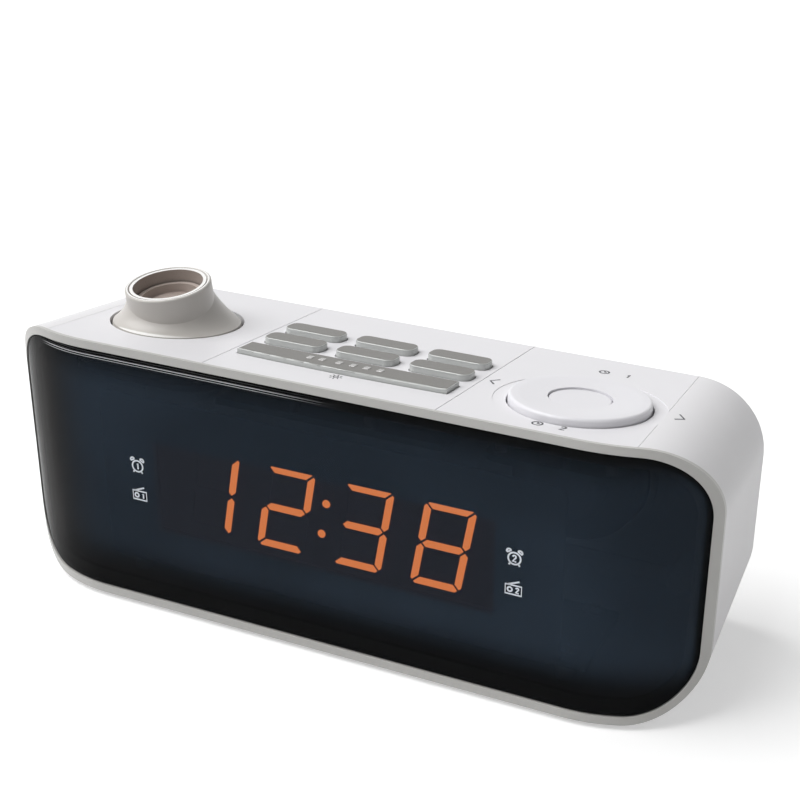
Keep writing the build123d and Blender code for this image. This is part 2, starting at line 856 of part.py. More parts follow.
# ---- Focus ring, lens cell, lens, slide, LED and its board ----
with BuildPart() as focus_ring:
    with BuildSketch(head_plane.offset(nozzle_step + seat_gap)):
        Circle(focus_outer)
        Circle(focus_inner, mode=Mode.SUBTRACT)
    extrude(amount=focus_top - nozzle_step - seat_gap)
save(focus_ring.part, "focus_ring")

lens_seat = cell_top - lens_thickness - lens_cover
with BuildPart() as lens_cell:
    with BuildSketch(head_plane.offset(cell_bottom)):
        Circle(cell_outer)
        Circle(cell_inner, mode=Mode.SUBTRACT)
    extrude(amount=cell_top - cell_bottom)
    with BuildSketch(head_plane.offset(cell_bottom)):
        Circle(cell_outer)
        Circle(cell_inner - cell_ledge, mode=Mode.SUBTRACT)
    extrude(amount=lens_seat - cell_bottom)
save(lens_cell.part, "lens_cell")

lens_radius = cell_inner - running_fit
lens_sag = lens_sphere - sqrt(lens_sphere**2 - lens_radius**2)
with BuildPart() as projection_lens:
    with BuildSketch(head_section):
        with BuildLine():
            low, high = lens_seat + seat_gap, lens_seat + lens_thickness
            Polyline((0, high), (0, low), (lens_radius, low), (lens_radius, high - lens_sag))
            RadiusArc((lens_radius, high - lens_sag), (0, high), -lens_sphere)
        make_face()
    revolve(axis=head_axis)
save(projection_lens.part, "projection_lens")

with BuildPart() as projector_slide:
    with BuildSketch(head_plane.offset(slide_seat)):
        Rectangle(slide_size, slide_size)
    extrude(amount=slide_thickness)
save(projector_slide.part, "projector_slide")

board_seat = -barrel_length + 0.6
with BuildPart() as projector_board:
    with BuildSketch(head_plane.offset(board_seat)):
        Circle(barrel_bore - seat_gap)
    extrude(amount=board_thickness)
save(projector_board.part, "projector_board")

with BuildPart() as projector_led:
    with BuildSketch(head_section):
        with BuildLine():
            low = board_seat + board_thickness
            shoulder = low + led_height - led_radius
            Polyline((0, low + led_height), (0, low), (led_radius, low), (led_radius, shoulder))
            RadiusArc((led_radius, shoulder), (0, low + led_height), -led_radius)
        make_face()
    revolve(axis=head_axis)
save(projector_led.part, "projector_led")

# ---- Display: mask behind the window, reflector block, segments and board ----
display_z = foot_height + display_rise
mask_near = window_recess + window_thickness + seat_gap
block_face = mask_near + display_mask_thickness + seat_gap
with BuildPart() as display_mask:
    with BuildSketch(standing(mask_near + display_mask_thickness)):
        with Locations((0, display_z)):
            RectangleRounded(display_mask_width, display_mask_height, 3)
            Rectangle(display_width, display_height, mode=Mode.SUBTRACT)
    extrude(amount=display_mask_thickness)
save(display_mask.part, "display_mask")

with BuildPart() as display_block:
    with BuildSketch(standing(block_face + display_block_depth)):
        with Locations((0, display_z)):
            Rectangle(display_width + 4, display_height + 4)
    extrude(amount=display_block_depth)
save(display_block.part, "display_block")

with BuildPart() as display_board:
    with BuildSketch(standing(block_face + display_block_depth + board_thickness)):
        with Locations((0, display_z)):
            Rectangle(display_width + 4 * display_board_border, display_height + 2 * display_board_border)
    extrude(amount=board_thickness)
save(display_board.part, "display_board")

# Each segment is named by its place and runs with the outside of the digit on its right. A digit is upright here
# and slanted when it is drawn.
half_w, half_h = (digit_width - stroke) / 2, (digit_height - stroke) / 2
segment_ends = {
    "top": ((half_w, half_h), (-half_w, half_h)),
    "upper_left": ((-half_w, half_h), (-half_w, 0)),
    "lower_left": ((-half_w, 0), (-half_w, -half_h)),
    "bottom": ((-half_w, -half_h), (half_w, -half_h)),
    "lower_right": ((half_w, -half_h), (half_w, 0)),
    "upper_right": ((half_w, 0), (half_w, half_h)),
    "middle": ((-half_w, 0), (half_w, 0)),
}
digit_segments = {
    "1": ["upper_right", "lower_right"],
    "2": ["top", "upper_right", "middle", "lower_left", "bottom"],
    "3": ["top", "upper_right", "middle", "lower_right", "bottom"],
    "8": list(segment_ends),
}
shown_time = "1238"
digit_middle = display_z + digit_lift


def slanted(x, z):
    """A point of a digit, leaned to the right."""
    return (x + z * tan(radians(digit_slant)), digit_middle + z)


def segment_outline(centre_x, ends):
    """Face of one segment: mitred and blunt at a corner of the digit, and pointed at the digit's waist."""
    (x0, z0), (x1, z1) = ends
    length = abs(x1 - x0) + abs(z1 - z0)
    along = ((x1 - x0) / length, (z1 - z0) / length)
    outside = (along[1] * stroke / 2, -along[0] * stroke / 2)
    corners = []
    for start, sign, at_waist in ((stroke_gap, 1, z0 == 0), (length - stroke_gap, -1, z1 == 0)):
        tip = start + sign * stroke / 2
        blunt = start - sign * stroke / 4
        end = [(tip, 1), (start, 0), (tip, -1)] if at_waist else [(start, 1), (blunt, 0.5), (tip, -1)]
        corners += end if sign > 0 else end[::-1]
    points = []
    for s, side in corners:
        x, z = slanted(x0 + s * along[0] + side * outside[0], z0 + s * along[1] + side * outside[1])
        points.append((centre_x + x, z))
    Polygon(*points, align=None)


def segment_group(lit):
    """All lit or all dark segments of the four digits, as separate thin solids."""
    with BuildPart() as group:
        with BuildSketch(standing(block_face)):
            for place, digit in enumerate(shown_time):
                centre_x = digit_shift + (place - 1.5) * digit_pitch
                for name, ends in segment_ends.items():
                    if (name in digit_segments[digit]) == lit:
                        segment_outline(centre_x, ends)
        extrude(amount=segment_thickness)
    return group.part


save(segment_group(True), "segments_lit")
save(segment_group(False), "segments_dark")
with BuildPart() as colon_dots:
    with BuildSketch(standing(block_face)):
        for z in (-colon_spread / 2, colon_spread / 2):
            with Locations((digit_shift + slanted(0, z)[0], digit_middle + z)):
                Circle(colon_radius)
    extrude(amount=segment_thickness)
save(colon_dots.part, "colon_dots")

# ---- Rear cover with speaker slots, socket holes and screw recesses ----
inner_face = depth - rear_wall
cover_inside = inner_face - 0.3
with BuildPart() as rear_cover:
    add(skin.part)
    add(cover_zone(cover_gap), mode=Mode.INTERSECT)
    flange_back = inner_face - seat_gap
    add(cover_zone(-cover_flange, near=flange_back - cover_flange_thickness, far=flange_back))
    flange_near_face = flange_back - cover_flange_thickness
    add(cover_zone(cover_gap + 2, near=flange_near_face - 1, far=inner_face), mode=Mode.SUBTRACT)
    add(cover_zone(cover_gap, near=cover_inside, far=inner_face + 0.3))
    add(door_zone(-2), mode=Mode.SUBTRACT)
    with BuildSketch(standing(inner_face + 0.2)):
        with Locations((speaker_x, speaker_z)):
            Circle(speaker_radius + 0.2 + collar_wall)
            Circle(speaker_radius + 0.2, mode=Mode.SUBTRACT)
    extrude(amount=speaker_flange_thickness + 1.5)
    # Pads round the screws
    with BuildSketch(standing(inner_face + 0.2)):
        with Locations(*cover_screw_places):
            Circle(boss_radius)
    extrude(amount=inner_face + 0.2 - boss_end - seat_gap)
    with BuildSketch(standing(depth + 1)):
        with Locations(*cover_screw_places):
            Circle(screw_radius + screw_hole_gap)
    extrude(amount=10, mode=Mode.SUBTRACT)
    with BuildSketch(standing(depth + 1)):
        with Locations(*cover_screw_places):
            Circle(screw_head_radius + screw_hole_gap)
    extrude(amount=1 + screw_head_height + 0.3, mode=Mode.SUBTRACT)
    with BuildSketch(standing(depth + 1)):
        with Locations((speaker_x, speaker_z)):
            rows = int(slot_circle / slot_pitch)
            for row in range(-rows, rows + 1):
                chord = 2 * sqrt(slot_circle**2 - (row * slot_pitch) ** 2)
                with Locations((0, row * slot_pitch)):
                    SlotOverall(chord, slot_width)
    extrude(amount=rear_wall + 2, mode=Mode.SUBTRACT)
    with BuildSketch(standing(depth + 1)):
        with Locations((jack_x, jack_z)):
            Circle(jack_radius + cover_gap)
        with Locations((gland_x, jack_z)):
            Circle(gland_radius + seat_gap)
    extrude(amount=rear_wall + 2, mode=Mode.SUBTRACT)
save(rear_cover.part, "rear_cover")

with BuildPart() as cover_screws:
    for x, z in cover_screw_places:
        with BuildSketch(standing(depth - 0.3)):
            with Locations((x, z)):
                Circle(screw_head_radius)
        extrude(amount=screw_head_height)
        with BuildSketch(standing(depth - 0.3 - screw_head_height)):
            with Locations((x, z)):
                Circle(screw_radius)
        extrude(amount=screw_length)
        for turn in (0, 90):
            with BuildSketch(standing(depth - 0.3)):
                with Locations(Location((x, z), turn)):
                    Rectangle(3.0, 0.6)
            extrude(amount=0.8, mode=Mode.SUBTRACT)
save(cover_screws.part, "cover_screws")

# ---- Speaker ----
frame_back = cover_inside - seat_gap
with BuildPart() as speaker_frame:
    with BuildSketch(standing(frame_back)):
        with Locations((speaker_x, speaker_z)):
            Circle(speaker_radius)
            Circle(speaker_radius - speaker_rim, mode=Mode.SUBTRACT)
    extrude(amount=speaker_flange_thickness)
    with BuildSketch(standing(frame_back - speaker_flange_thickness)):
        with Locations((speaker_x, speaker_z)):
            Circle(speaker_radius - 0.8)
            Circle(speaker_radius - speaker_rim, mode=Mode.SUBTRACT)
    extrude(amount=speaker_depth)
    with BuildSketch(standing(frame_back - speaker_flange_thickness - speaker_depth)):
        with Locations((speaker_x, speaker_z)):
            Circle(speaker_radius - 0.8)
    extrude(amount=1.2)
save(speaker_frame.part, "speaker_frame")

cone_base = frame_back - speaker_flange_thickness - speaker_depth
speaker_middle = standing(0).origin + Vector(speaker_x, 0, speaker_z)
with BuildPart() as speaker_cone:
    with BuildSketch(Plane(speaker_middle, x_dir=(1, 0, 0), z_dir=(0, 0, 1))):
        with BuildLine():
            outer, inner = speaker_radius - speaker_rim - 0.3, 4.5
            Polyline(
                (0, cone_base + seat_gap),
                (inner, cone_base + seat_gap),
                (outer, frame_back - 0.4 - cone_thickness),
                (outer, frame_back - 0.4),
                (inner - 0.3, cone_base + cone_thickness + 0.4),
                (0, cone_base + cone_thickness + 1.4),
                close=True,
            )
        make_face()
    revolve(axis=Axis((speaker_x, 0, speaker_z), (0, 1, 0)))
save(speaker_cone.part, "speaker_cone")

with BuildPart() as speaker_magnet:
    with BuildSketch(standing(frame_back - speaker_flange_thickness - speaker_depth - 1.2 - seat_gap)):
        with Locations((speaker_x, speaker_z)):
            Circle(magnet_radius)
    extrude(amount=magnet_depth)
    chamfer(speaker_magnet.faces().sort_by(Axis.Y)[0].edges(), 0.6)
save(speaker_magnet.part, "speaker_magnet")

# ---- Power socket and antenna gland ----
with BuildPart() as dc_jack:
    with BuildSketch(standing(cover_inside - seat_gap)):
        with Locations((jack_x, jack_z)):
            Rectangle(jack_body, jack_body)
    extrude(amount=jack_body_depth)
    with BuildSketch(standing(depth - 0.4)):
        with Locations((jack_x, jack_z)):
            Circle(jack_radius)
    extrude(amount=depth - cover_inside)
    with BuildSketch(standing(depth)):
        with Locations((jack_x, jack_z)):
            Circle(jack_bore)
            Circle(jack_pin, mode=Mode.SUBTRACT)
    extrude(amount=9.0, mode=Mode.SUBTRACT)
save(dc_jack.part, "dc_jack")

with BuildPart() as antenna_gland:
    with BuildSketch(standing(depth - 0.3)):
        with Locations((gland_x, jack_z)):
            Circle(gland_radius)
    extrude(amount=depth - cover_inside)
    with BuildSketch(standing(cover_inside - seat_gap)):
        with Locations((gland_x, jack_z)):
            Circle(gland_flange)
    extrude(amount=gland_flange_thickness)
    with BuildSketch(standing(depth)):
        with Locations((gland_x, jack_z)):
            Circle(gland_bore)
    extrude(amount=6, mode=Mode.SUBTRACT)
save(antenna_gland.part, "antenna_gland")

# ---- Battery door, cell holder and cell ----
with BuildPart() as battery_door:
    add(skin.part)
    add(door_zone(door_gap), mode=Mode.INTERSECT)
    for row in range(3):
        with BuildSketch(on_base(0, door_front + 5 + 1.6 * row, 0.3)):
            SlotOverall(12, 0.7)
        extrude(amount=-2, mode=Mode.SUBTRACT)
    # Tabs that hook over the floor in front of the opening
    for x in (-tab_x, tab_x):
        tab_front, tab_back = door_front - tab_reach, door_front + door_gap + tab_root
        with BuildSketch(on_base(x, (tab_front + tab_back) / 2, wall + tab_gap)):
            Rectangle(tab_width, tab_back - tab_front)
        extrude(amount=tab_thickness)
        with BuildSketch(on_base(x, tab_back - tab_root / 2, wall - 0.5)):
            Rectangle(tab_width, tab_root)
        extrude(amount=0.5 + tab_gap)
save(battery_door.part, "battery_door")

holder_low = wall + 0.4
coin_low = holder_low + holder_gap
with BuildPart() as coin_cell:
    with BuildSketch(on_base(0, coin_back, coin_low)):
        Circle(coin_radius)
    extrude(amount=coin_thickness)
    chamfer(coin_cell.faces().sort_by(Axis.Z)[-1].edges(), 0.3)
save(coin_cell.part, "coin_cell")

with BuildPart() as cell_holder:
    with BuildSketch(on_base(0, coin_back, holder_low)):
        Rectangle(door_width + 6, 2 * coin_radius + 2)
        Circle(coin_radius + holder_gap, mode=Mode.SUBTRACT)
    extrude(amount=coin_low + coin_thickness + seat_gap - holder_low)
    with BuildSketch(on_base(0, coin_back, coin_low + coin_thickness + seat_gap)):
        Rectangle(door_width + 6, 2 * coin_radius + 2)
    extrude(amount=holder_wall)
    for side in (-1, 1):
        with BuildSketch(on_base(side * (door_width / 2 + 1.9), coin_back, wall + seat_gap)):
            Rectangle(2.2, 2 * coin_radius + 2)
        extrude(amount=holder_low - wall)
    # Notches that clear the door's tabs as they swing
    for x in (-tab_x, tab_x):
        with BuildSketch(on_base(x, door_front, wall)):
            Rectangle(tab_width + 1, 2 * 4.5)
        extrude(amount=10, mode=Mode.SUBTRACT)
save(cell_holder.part, "cell_holder")

# ---- Feet ----


def feet(foot_x, back):
    """Two rubber feet, level below and cut to the sloping underside above."""
    with BuildPart() as pair:
        with Locations((-foot_x, front_y + back, 0), (foot_x, front_y + back, 0)):
            Cylinder(foot_radius, 4 * foot_height + rear_base_rise, align=(Align.CENTER, Align.CENTER, Align.MIN))
        add(form(), mode=Mode.SUBTRACT)
        chamfer(pair.edges().group_by(Axis.Z)[0], 0.3)
    return pair.part


save(feet(front_foot_x, front_foot_back), "front_feet")
save(feet(rear_foot_x, rear_foot_back), "rear_feet")

# ---- Main board, its screws and parts ----
with BuildPart() as main_board:
    with BuildSketch(on_base(0, main_board_back, main_board_lift)):
        Rectangle(main_board_width, main_board_depth)
        with Locations(*[(x, back - main_board_back) for x, back in board_post_places]):
            Circle(screw_radius + screw_hole_gap, mode=Mode.SUBTRACT)
    extrude(amount=board_thickness)
save(main_board.part, "main_board")

board_face = main_board_lift + board_thickness
with BuildPart() as board_screws:
    for x, back in board_post_places:
        with BuildSketch(on_base(x, back, board_face)):
            Circle(screw_head_radius)
        extrude(amount=screw_head_height)
        with BuildSketch(on_base(x, back, board_face)):
            Circle(screw_radius)
        extrude(amount=-board_face + wall + 0.4)
save(board_screws.part, "board_screws")

with BuildPart() as main_chips:
    for x in chip_places:
        with BuildSketch(on_base(x, main_board_back, board_face)):
            Rectangle(chip_size, chip_size)
        extrude(amount=chip_thickness)
save(main_chips.part, "main_chips")

with BuildPart() as capacitors:
    for x in capacitor_places:
        with BuildSketch(on_base(x, main_board_back, board_face)):
            Circle(capacitor_radius)
        extrude(amount=capacitor_height)
save(capacitors.part, "capacitors")
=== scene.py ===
"""Dresses the projection alarm clock: its finishes, printed marks, studio and camera."""

import logging
import math
from collections.abc import Iterable
from dataclasses import dataclass
from enum import Enum

import bpy
from mathutils import Matrix, Vector


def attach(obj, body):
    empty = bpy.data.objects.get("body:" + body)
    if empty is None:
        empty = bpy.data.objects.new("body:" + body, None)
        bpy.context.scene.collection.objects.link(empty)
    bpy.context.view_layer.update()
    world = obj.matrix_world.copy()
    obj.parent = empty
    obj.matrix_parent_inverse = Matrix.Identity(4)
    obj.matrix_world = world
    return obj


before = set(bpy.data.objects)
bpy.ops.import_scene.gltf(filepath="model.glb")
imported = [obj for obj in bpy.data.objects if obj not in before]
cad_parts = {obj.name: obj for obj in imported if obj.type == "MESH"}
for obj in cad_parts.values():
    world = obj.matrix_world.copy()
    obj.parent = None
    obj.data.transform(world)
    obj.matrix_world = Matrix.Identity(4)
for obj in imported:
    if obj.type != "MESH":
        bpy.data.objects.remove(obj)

LOG = logging.getLogger("alarm_clock")
MM = 0.001


# --------------------------------------------------------------------------------------------
# Places, repeated from the source
# --------------------------------------------------------------------------------------------


@dataclass(frozen=True)
class Case:
    """Sizes of the case that the marks are placed by, in millimetres.

    Attributes:
        depth: From the front to the rear.
        front_height: Height of the front, over the feet.
        top_drop: How much lower the top lies at the rear.
        foot: Height of the feet.
    """

    depth: float = 62.0
    front_height: float = 71.3
    top_drop: float = 7.0
    foot: float = 1.2

    def top_normal(self) -> Vector:
        """Returns the direction that the sloping top faces."""
        return Vector((0.0, self.top_drop / self.depth, 1.0)).normalized()

    def top_frame(self) -> Matrix:
        """Returns the frame of the sloping top: x right, y rearwards down the slope, z out."""
        normal = self.top_normal()
        along = Vector((0.0, normal.z, -normal.y))
        origin = Vector((0.0, -self.depth / 2, self.foot + self.front_height)) * MM
        turn = Matrix((Vector((1.0, 0.0, 0.0)), along, normal)).transposed().to_4x4()
        return Matrix.Translation(origin) @ turn

    def front_frame(self, inset: float) -> Matrix:
        """Frame of the upright front: x right, y up, z out to the viewer.

        Args:
            inset: How far behind the front it lies, in millimetres.

        Returns:
            The frame, with its origin at the foot of the clock's middle.
        """
        axes = Matrix((Vector((1, 0, 0)), Vector((0, 0, 1)), Vector((0, -1, 0)))).transposed()
        return Matrix.Translation(Vector((0.0, (inset - self.depth / 2) * MM, 0.0))) @ axes.to_4x4()


@dataclass(frozen=True)
class Window:
    """The window's outline and the field before its display, sideways and up from the foot, in metres.

    Attributes:
        middle: The outline's middle.
        half: Half its width and half its height.
        corner: Its corners' radius.
        display_middle: The field's middle.
        display_half: Half its width and half its height.
        display_corner: Its corners' radius.
        display_fade: How deep inside its edge the field is whole.
    """

    middle: tuple[float, float] = (0.0, 0.03685)
    half: tuple[float, float] = (0.0928, 0.03345)
    corner: float = 0.0152
    display_middle: tuple[float, float] = (0.0, 0.0362)
    display_half: tuple[float, float] = (0.046, 0.01235)
    display_corner: float = 0.2e-3
    display_fade: float = 0.1e-3


CASE = Case()
WINDOW = Window()


# --------------------------------------------------------------------------------------------
# Finishes
# --------------------------------------------------------------------------------------------

NOISE_SPAN = (0.25, 0.75)  # between which most of the noise lies
NOISE_ROUGHNESS = 0.55
CLOUDS = 90.0  # patches of colour per metre on a plain finish
WEAR_CLOUDS = 140.0  # on a finish with painted shade by facing
SMOOTHEST = 0.02
COAT_ROUGHNESS = 0.08
TOP_AXIS = (0.0, 0.11219, 0.99369)  # the way the sloping top faces
NOZZLE_AXIS = (-0.05872, -0.09387, 0.99385)  # the way the projector's nozzle looks at rest


def linear(red: int, green: int, blue: int) -> tuple[float, float, float, float]:
    """Turns a display colour of 0 to 255 a channel into the linear one that shaders take.

    Args:
        red: Red channel.
        green: Green channel.
        blue: Blue channel.

    Returns:
        The linear colour, with full alpha.
    """
    parts = []
    for channel in (red, green, blue):
        value = channel / 255
        parts.append(value / 12.92 if value <= 0.04045 else ((value + 0.055) / 1.055) ** 2.4)
    return (parts[0], parts[1], parts[2], 1.0)


def shade(colour: tuple[float, float, float, float], factor: float) -> tuple[float, float, float, float]:
    """Makes a linear colour darker or lighter.

    Args:
        colour: The colour.
        factor: How many times as bright it gets.

    Returns:
        The new colour, no channel over 1.
    """
    red, green, blue = (min(1.0, channel * factor) for channel in colour[:3])
    return (red, green, blue, 1.0)


class NodeTree:
    """A material under construction, with short ways to add and link its nodes."""

    def __init__(self, name: str) -> None:
        """Starts an empty node material of that name."""
        self.material = bpy.data.materials.new(name)
        self.material.use_nodes = True
        self.tree = self.material.node_tree
        self.shader = self.tree.nodes["Principled BSDF"]
        self.coords = self.add("ShaderNodeTexCoord")

    def add(self, kind: str, **values: object) -> bpy.types.Node:
        """Adds a node and sets its properties or sockets.

        Args:
            kind: The node's type.
            values: Properties by name, or sockets by name with spaces as underscores.

        Returns:
            The new node.
        """
        node = self.tree.nodes.new(kind)
        for key, value in values.items():
            if hasattr(node, key):
                setattr(node, key, value)
            else:
                node.inputs[key.replace("_", " ")].default_value = value
        return node

    def link(self, source: bpy.types.NodeSocket, target: bpy.types.NodeSocket) -> None:
        """Links two sockets."""
        self.tree.links.new(source, target)

    def noise(
        self, scale: float, detail: float = 2.0, stretch: tuple[float, float, float] = (1, 1, 1)
    ) -> bpy.types.NodeSocket:
        """Noise over the object's own coordinates.

        Args:
            scale: Cells per metre.
            detail: Octaves of detail.
            stretch: How much denser the noise is along each axis.

        Returns:
            The noise's value socket.
        """
        mapping = self.add("ShaderNodeMapping")
        mapping.inputs["Scale"].default_value = stretch
        self.link(self.coords.outputs["Object"], mapping.inputs["Vector"])
        texture = self.add("ShaderNodeTexNoise", Scale=scale, Detail=detail, Roughness=NOISE_ROUGHNESS)
        self.link(mapping.outputs["Vector"], texture.inputs["Vector"])
        return texture.outputs["Fac"]

    def ramp(self, source: bpy.types.NodeSocket, low: float, high: float) -> bpy.types.NodeSocket:
        """Maps a 0 to 1 value onto a range of numbers.

        Args:
            source: The value.
            low: The result at the noise span's low end.
            high: The result at its high end.

        Returns:
            The mapped value's socket.
        """
        node = self.add("ShaderNodeMapRange", From_Min=NOISE_SPAN[0], From_Max=NOISE_SPAN[1], To_Min=low, To_Max=high)
        self.link(source, node.inputs["Value"])
        return node.outputs["Result"]

    def roughen(self, source: bpy.types.NodeSocket, middle: float, spread: float) -> None:
        """Gives the surface a roughness that follows a value.

        Args:
            source: The value.
            middle: Mean roughness.
            spread: How far it varies either way.
        """
        rough = self.ramp(source, max(SMOOTHEST, middle - spread), middle + spread)
        self.link(rough, self.shader.inputs["Roughness"])

    def blend(
        self, factor: bpy.types.NodeSocket, first: bpy.types.NodeSocket | tuple, second: tuple
    ) -> bpy.types.NodeSocket:
        """Mixes two colours.

        Args:
            factor: The share of the second colour.
            first: The first colour, or its socket.
            second: The second colour.

        Returns:
            The mixed colour's socket.
        """
        node = self.add("ShaderNodeMix", data_type="RGBA")
        self.link(factor, node.inputs["Factor"])
        colours = [socket for socket in node.inputs if socket.type == "RGBA"]
        if isinstance(first, bpy.types.NodeSocket):
            self.link(first, colours[0])
        else:
            colours[0].default_value = first
        colours[1].default_value = second
        return [socket for socket in node.outputs if socket.type == "RGBA"][0]

    def step(self, source: bpy.types.NodeSocket, low: float, high: float) -> bpy.types.NodeSocket:
        """Rises smoothly from 0 where the source is at low to 1 where it is at high."""
        node = self.add("ShaderNodeMapRange", interpolation_type="SMOOTHSTEP", From_Min=low, From_Max=high)
        self.link(source, node.inputs["Value"])
        return node.outputs["Result"]

    def math(
        self, operation: str, first: bpy.types.NodeSocket, second: bpy.types.NodeSocket | float
    ) -> bpy.types.NodeSocket:
        """One step of arithmetic.

        Args:
            operation: Its name.
            first: The first value's socket.
            second: The second value, or its socket.

        Returns:
            The result's socket.
        """
        node = self.add("ShaderNodeMath", operation=operation)
        self.link(first, node.inputs[0])
        if isinstance(second, float):
            node.inputs[1].default_value = second
        else:
            self.link(second, node.inputs[1])
        return node.outputs["Value"]

    def vector(self, operation: str, first: bpy.types.NodeSocket, second: tuple = (0, 0, 0)) -> bpy.types.Node:
        """One step of vector arithmetic, with a fixed second vector."""
        node = self.add("ShaderNodeVectorMath", operation=operation)
        self.link(first, node.inputs[0])
        if operation not in ("ABSOLUTE", "LENGTH"):
            node.inputs[1].default_value = second
        return node

    def inside(self, middle: tuple[float, float], half: tuple[float, float], radius: float) -> bpy.types.NodeSocket:
        """Depth inside a rounded rectangle that stands upright across the clock.

        Args:
            middle: Its middle, sideways and up, in metres.
            half: Half its width and half its height.
            radius: Its corners' radius, which is also the deepest that is told apart.

        Returns:
            The depth's socket, in metres, 0 on the outline.
        """
        flat = self.vector("MULTIPLY", self.coords.outputs["Object"], (1, 0, 1))
        moved = self.vector("SUBTRACT", flat.outputs["Vector"], (middle[0], 0, middle[1]))
        folded = self.vector("ABSOLUTE", moved.outputs["Vector"])
        past = self.vector("SUBTRACT", folded.outputs["Vector"], (half[0] - radius, 0, half[1] - radius))
        outside = self.vector("MAXIMUM", past.outputs["Vector"], (0, 0, 0))
        reach = self.vector("LENGTH", outside.outputs["Vector"])
        node = self.add("ShaderNodeMath", operation="SUBTRACT")
        node.inputs[0].default_value = radius
        self.link(reach.outputs["Value"], node.inputs[1])
        return node.outputs["Value"]

    def facing(self, direction: tuple[float, float, float]) -> bpy.types.NodeSocket:
        """Share by which the surface faces a direction of the object's own."""
        node = self.vector("DOT_PRODUCT", self.coords.outputs["Normal"], direction)
        return node.outputs["Value"]

    def bump(self, height: bpy.types.NodeSocket, depth: float) -> None:
        """Gives the surface relief from a height of 0 to 1, depth metres deep."""
        node = self.add("ShaderNodeBump", Strength=1.0, Distance=depth)
        self.link(height, node.inputs["Height"])
        self.link(node.outputs["Normal"], self.shader.inputs["Normal"])


@dataclass(frozen=True)
class Finish:
    """One surface finish, with the fine variation that a real surface has.

    Attributes:
        name: The material's name.
        colour: Its display colour.
        roughness: Mean roughness.
        spread: How far the roughness varies either way.
        mottle: Share by which the colour varies.
        grain: Grain cells per metre.
        relief: Depth of the grain in metres.
        metal: Metallic share.
        coat: Clear coat weight.
        specular: Strength of the plain reflection.
        stretch: How the grain is drawn out along each axis.
    """

    name: str
    colour: tuple[int, int, int]
    roughness: float = 0.4
    spread: float = 0.05
    mottle: float = 0.03
    grain: float = 2500.0
    relief: float = 4e-6
    metal: float = 0.0
    coat: float = 0.0
    specular: float = 0.5
    stretch: tuple[float, float, float] = (1.0, 1.0, 1.0)

    def build(self) -> bpy.types.Material:
        """Returns the finished material."""
        tree = NodeTree(self.name)
        base = linear(*self.colour)
        fine = tree.noise(self.grain, 2.0, self.stretch)
        skin = tree.blend(tree.noise(CLOUDS, 3.0), shade(base, 1 - self.mottle), shade(base, 1 + self.mottle))
        tree.link(skin, tree.shader.inputs["Base Color"])
        tree.roughen(fine, self.roughness, self.spread)
        tree.shader.inputs["Metallic"].default_value = self.metal
        tree.shader.inputs["Coat Weight"].default_value = self.coat
        tree.shader.inputs["Coat Roughness"].default_value = COAT_ROUGHNESS
        tree.shader.inputs["Specular IOR Level"].default_value = self.specular
        tree.bump(fine, self.relief)
        return tree.material


@dataclass(frozen=True)
class GlowFinish(Finish):
    """A finish that gives light of its own.

    Attributes:
        strength: Emission strength.
        glow: Display colour of the light.
    """

    strength: float = 1.0
    glow: tuple[int, int, int] = (255, 120, 60)

    def build(self) -> bpy.types.Material:
        """Returns the finished material."""
        material = Finish.build(self)
        shader = material.node_tree.nodes["Principled BSDF"]
        shader.inputs["Emission Color"].default_value = linear(*self.glow)
        shader.inputs["Emission Strength"].default_value = self.strength
        return material


@dataclass(frozen=True)
class FacingShadeFinish(Finish):
    """A finish with painted light and shade: one colour on the faces that look one way and another on the rest.

    Attributes:
        side: Display colour of the other faces, painted to stand in for how light falls on them.
        towards: The direction that the first faces look in.
        sides_from: Share of facing below which the other colour is whole.
        top_from: Share of facing above which the first colour is whole.
        crease_shade: Whether a painted shade line, darker, runs where the upright faces round over.
        crease_shade_colour: Display colour of that painted shade line.
        crease_shade_upper: Share of facing where the line's upper edge begins, and where it is whole.
        crease_shade_lower: The same for its lower edge.
    """

    side: tuple[int, int, int] = (190, 192, 190)
    towards: tuple[float, float, float] = TOP_AXIS
    sides_from: float = 0.86
    top_from: float = 0.965
    crease_shade: bool = False
    crease_shade_colour: tuple[int, int, int] = (120, 122, 120)
    crease_shade_upper: tuple[float, float] = (0.40, 0.25)
    crease_shade_lower: tuple[float, float] = (0.12, 0.22)

    def build(self) -> bpy.types.Material:
        """Returns the finished material."""
        tree = NodeTree(self.name)
        fine = tree.noise(self.grain, 2.0, self.stretch)
        plain = linear(*self.colour)
        top = tree.facing(self.towards)
        skin = tree.blend(tree.noise(WEAR_CLOUDS, 3.0), plain, shade(plain, 1 + self.mottle))
        # painted light and shade: the colour changes with the way each face looks
        skin = tree.blend(tree.step(top, self.top_from, self.sides_from), skin, linear(*self.side))
        # painted shade: a darker line where the upright faces round over
        if self.crease_shade:
            line = tree.math("MULTIPLY", tree.step(top, *self.crease_shade_upper), tree.step(top, *self.crease_shade_lower))
            skin = tree.blend(line, skin, linear(*self.crease_shade_colour))
        tree.link(skin, tree.shader.inputs["Base Color"])
        tree.roughen(fine, self.roughness, self.spread)
        tree.shader.inputs["Metallic"].default_value = self.metal
        tree.bump(fine, self.relief)
        return tree.material


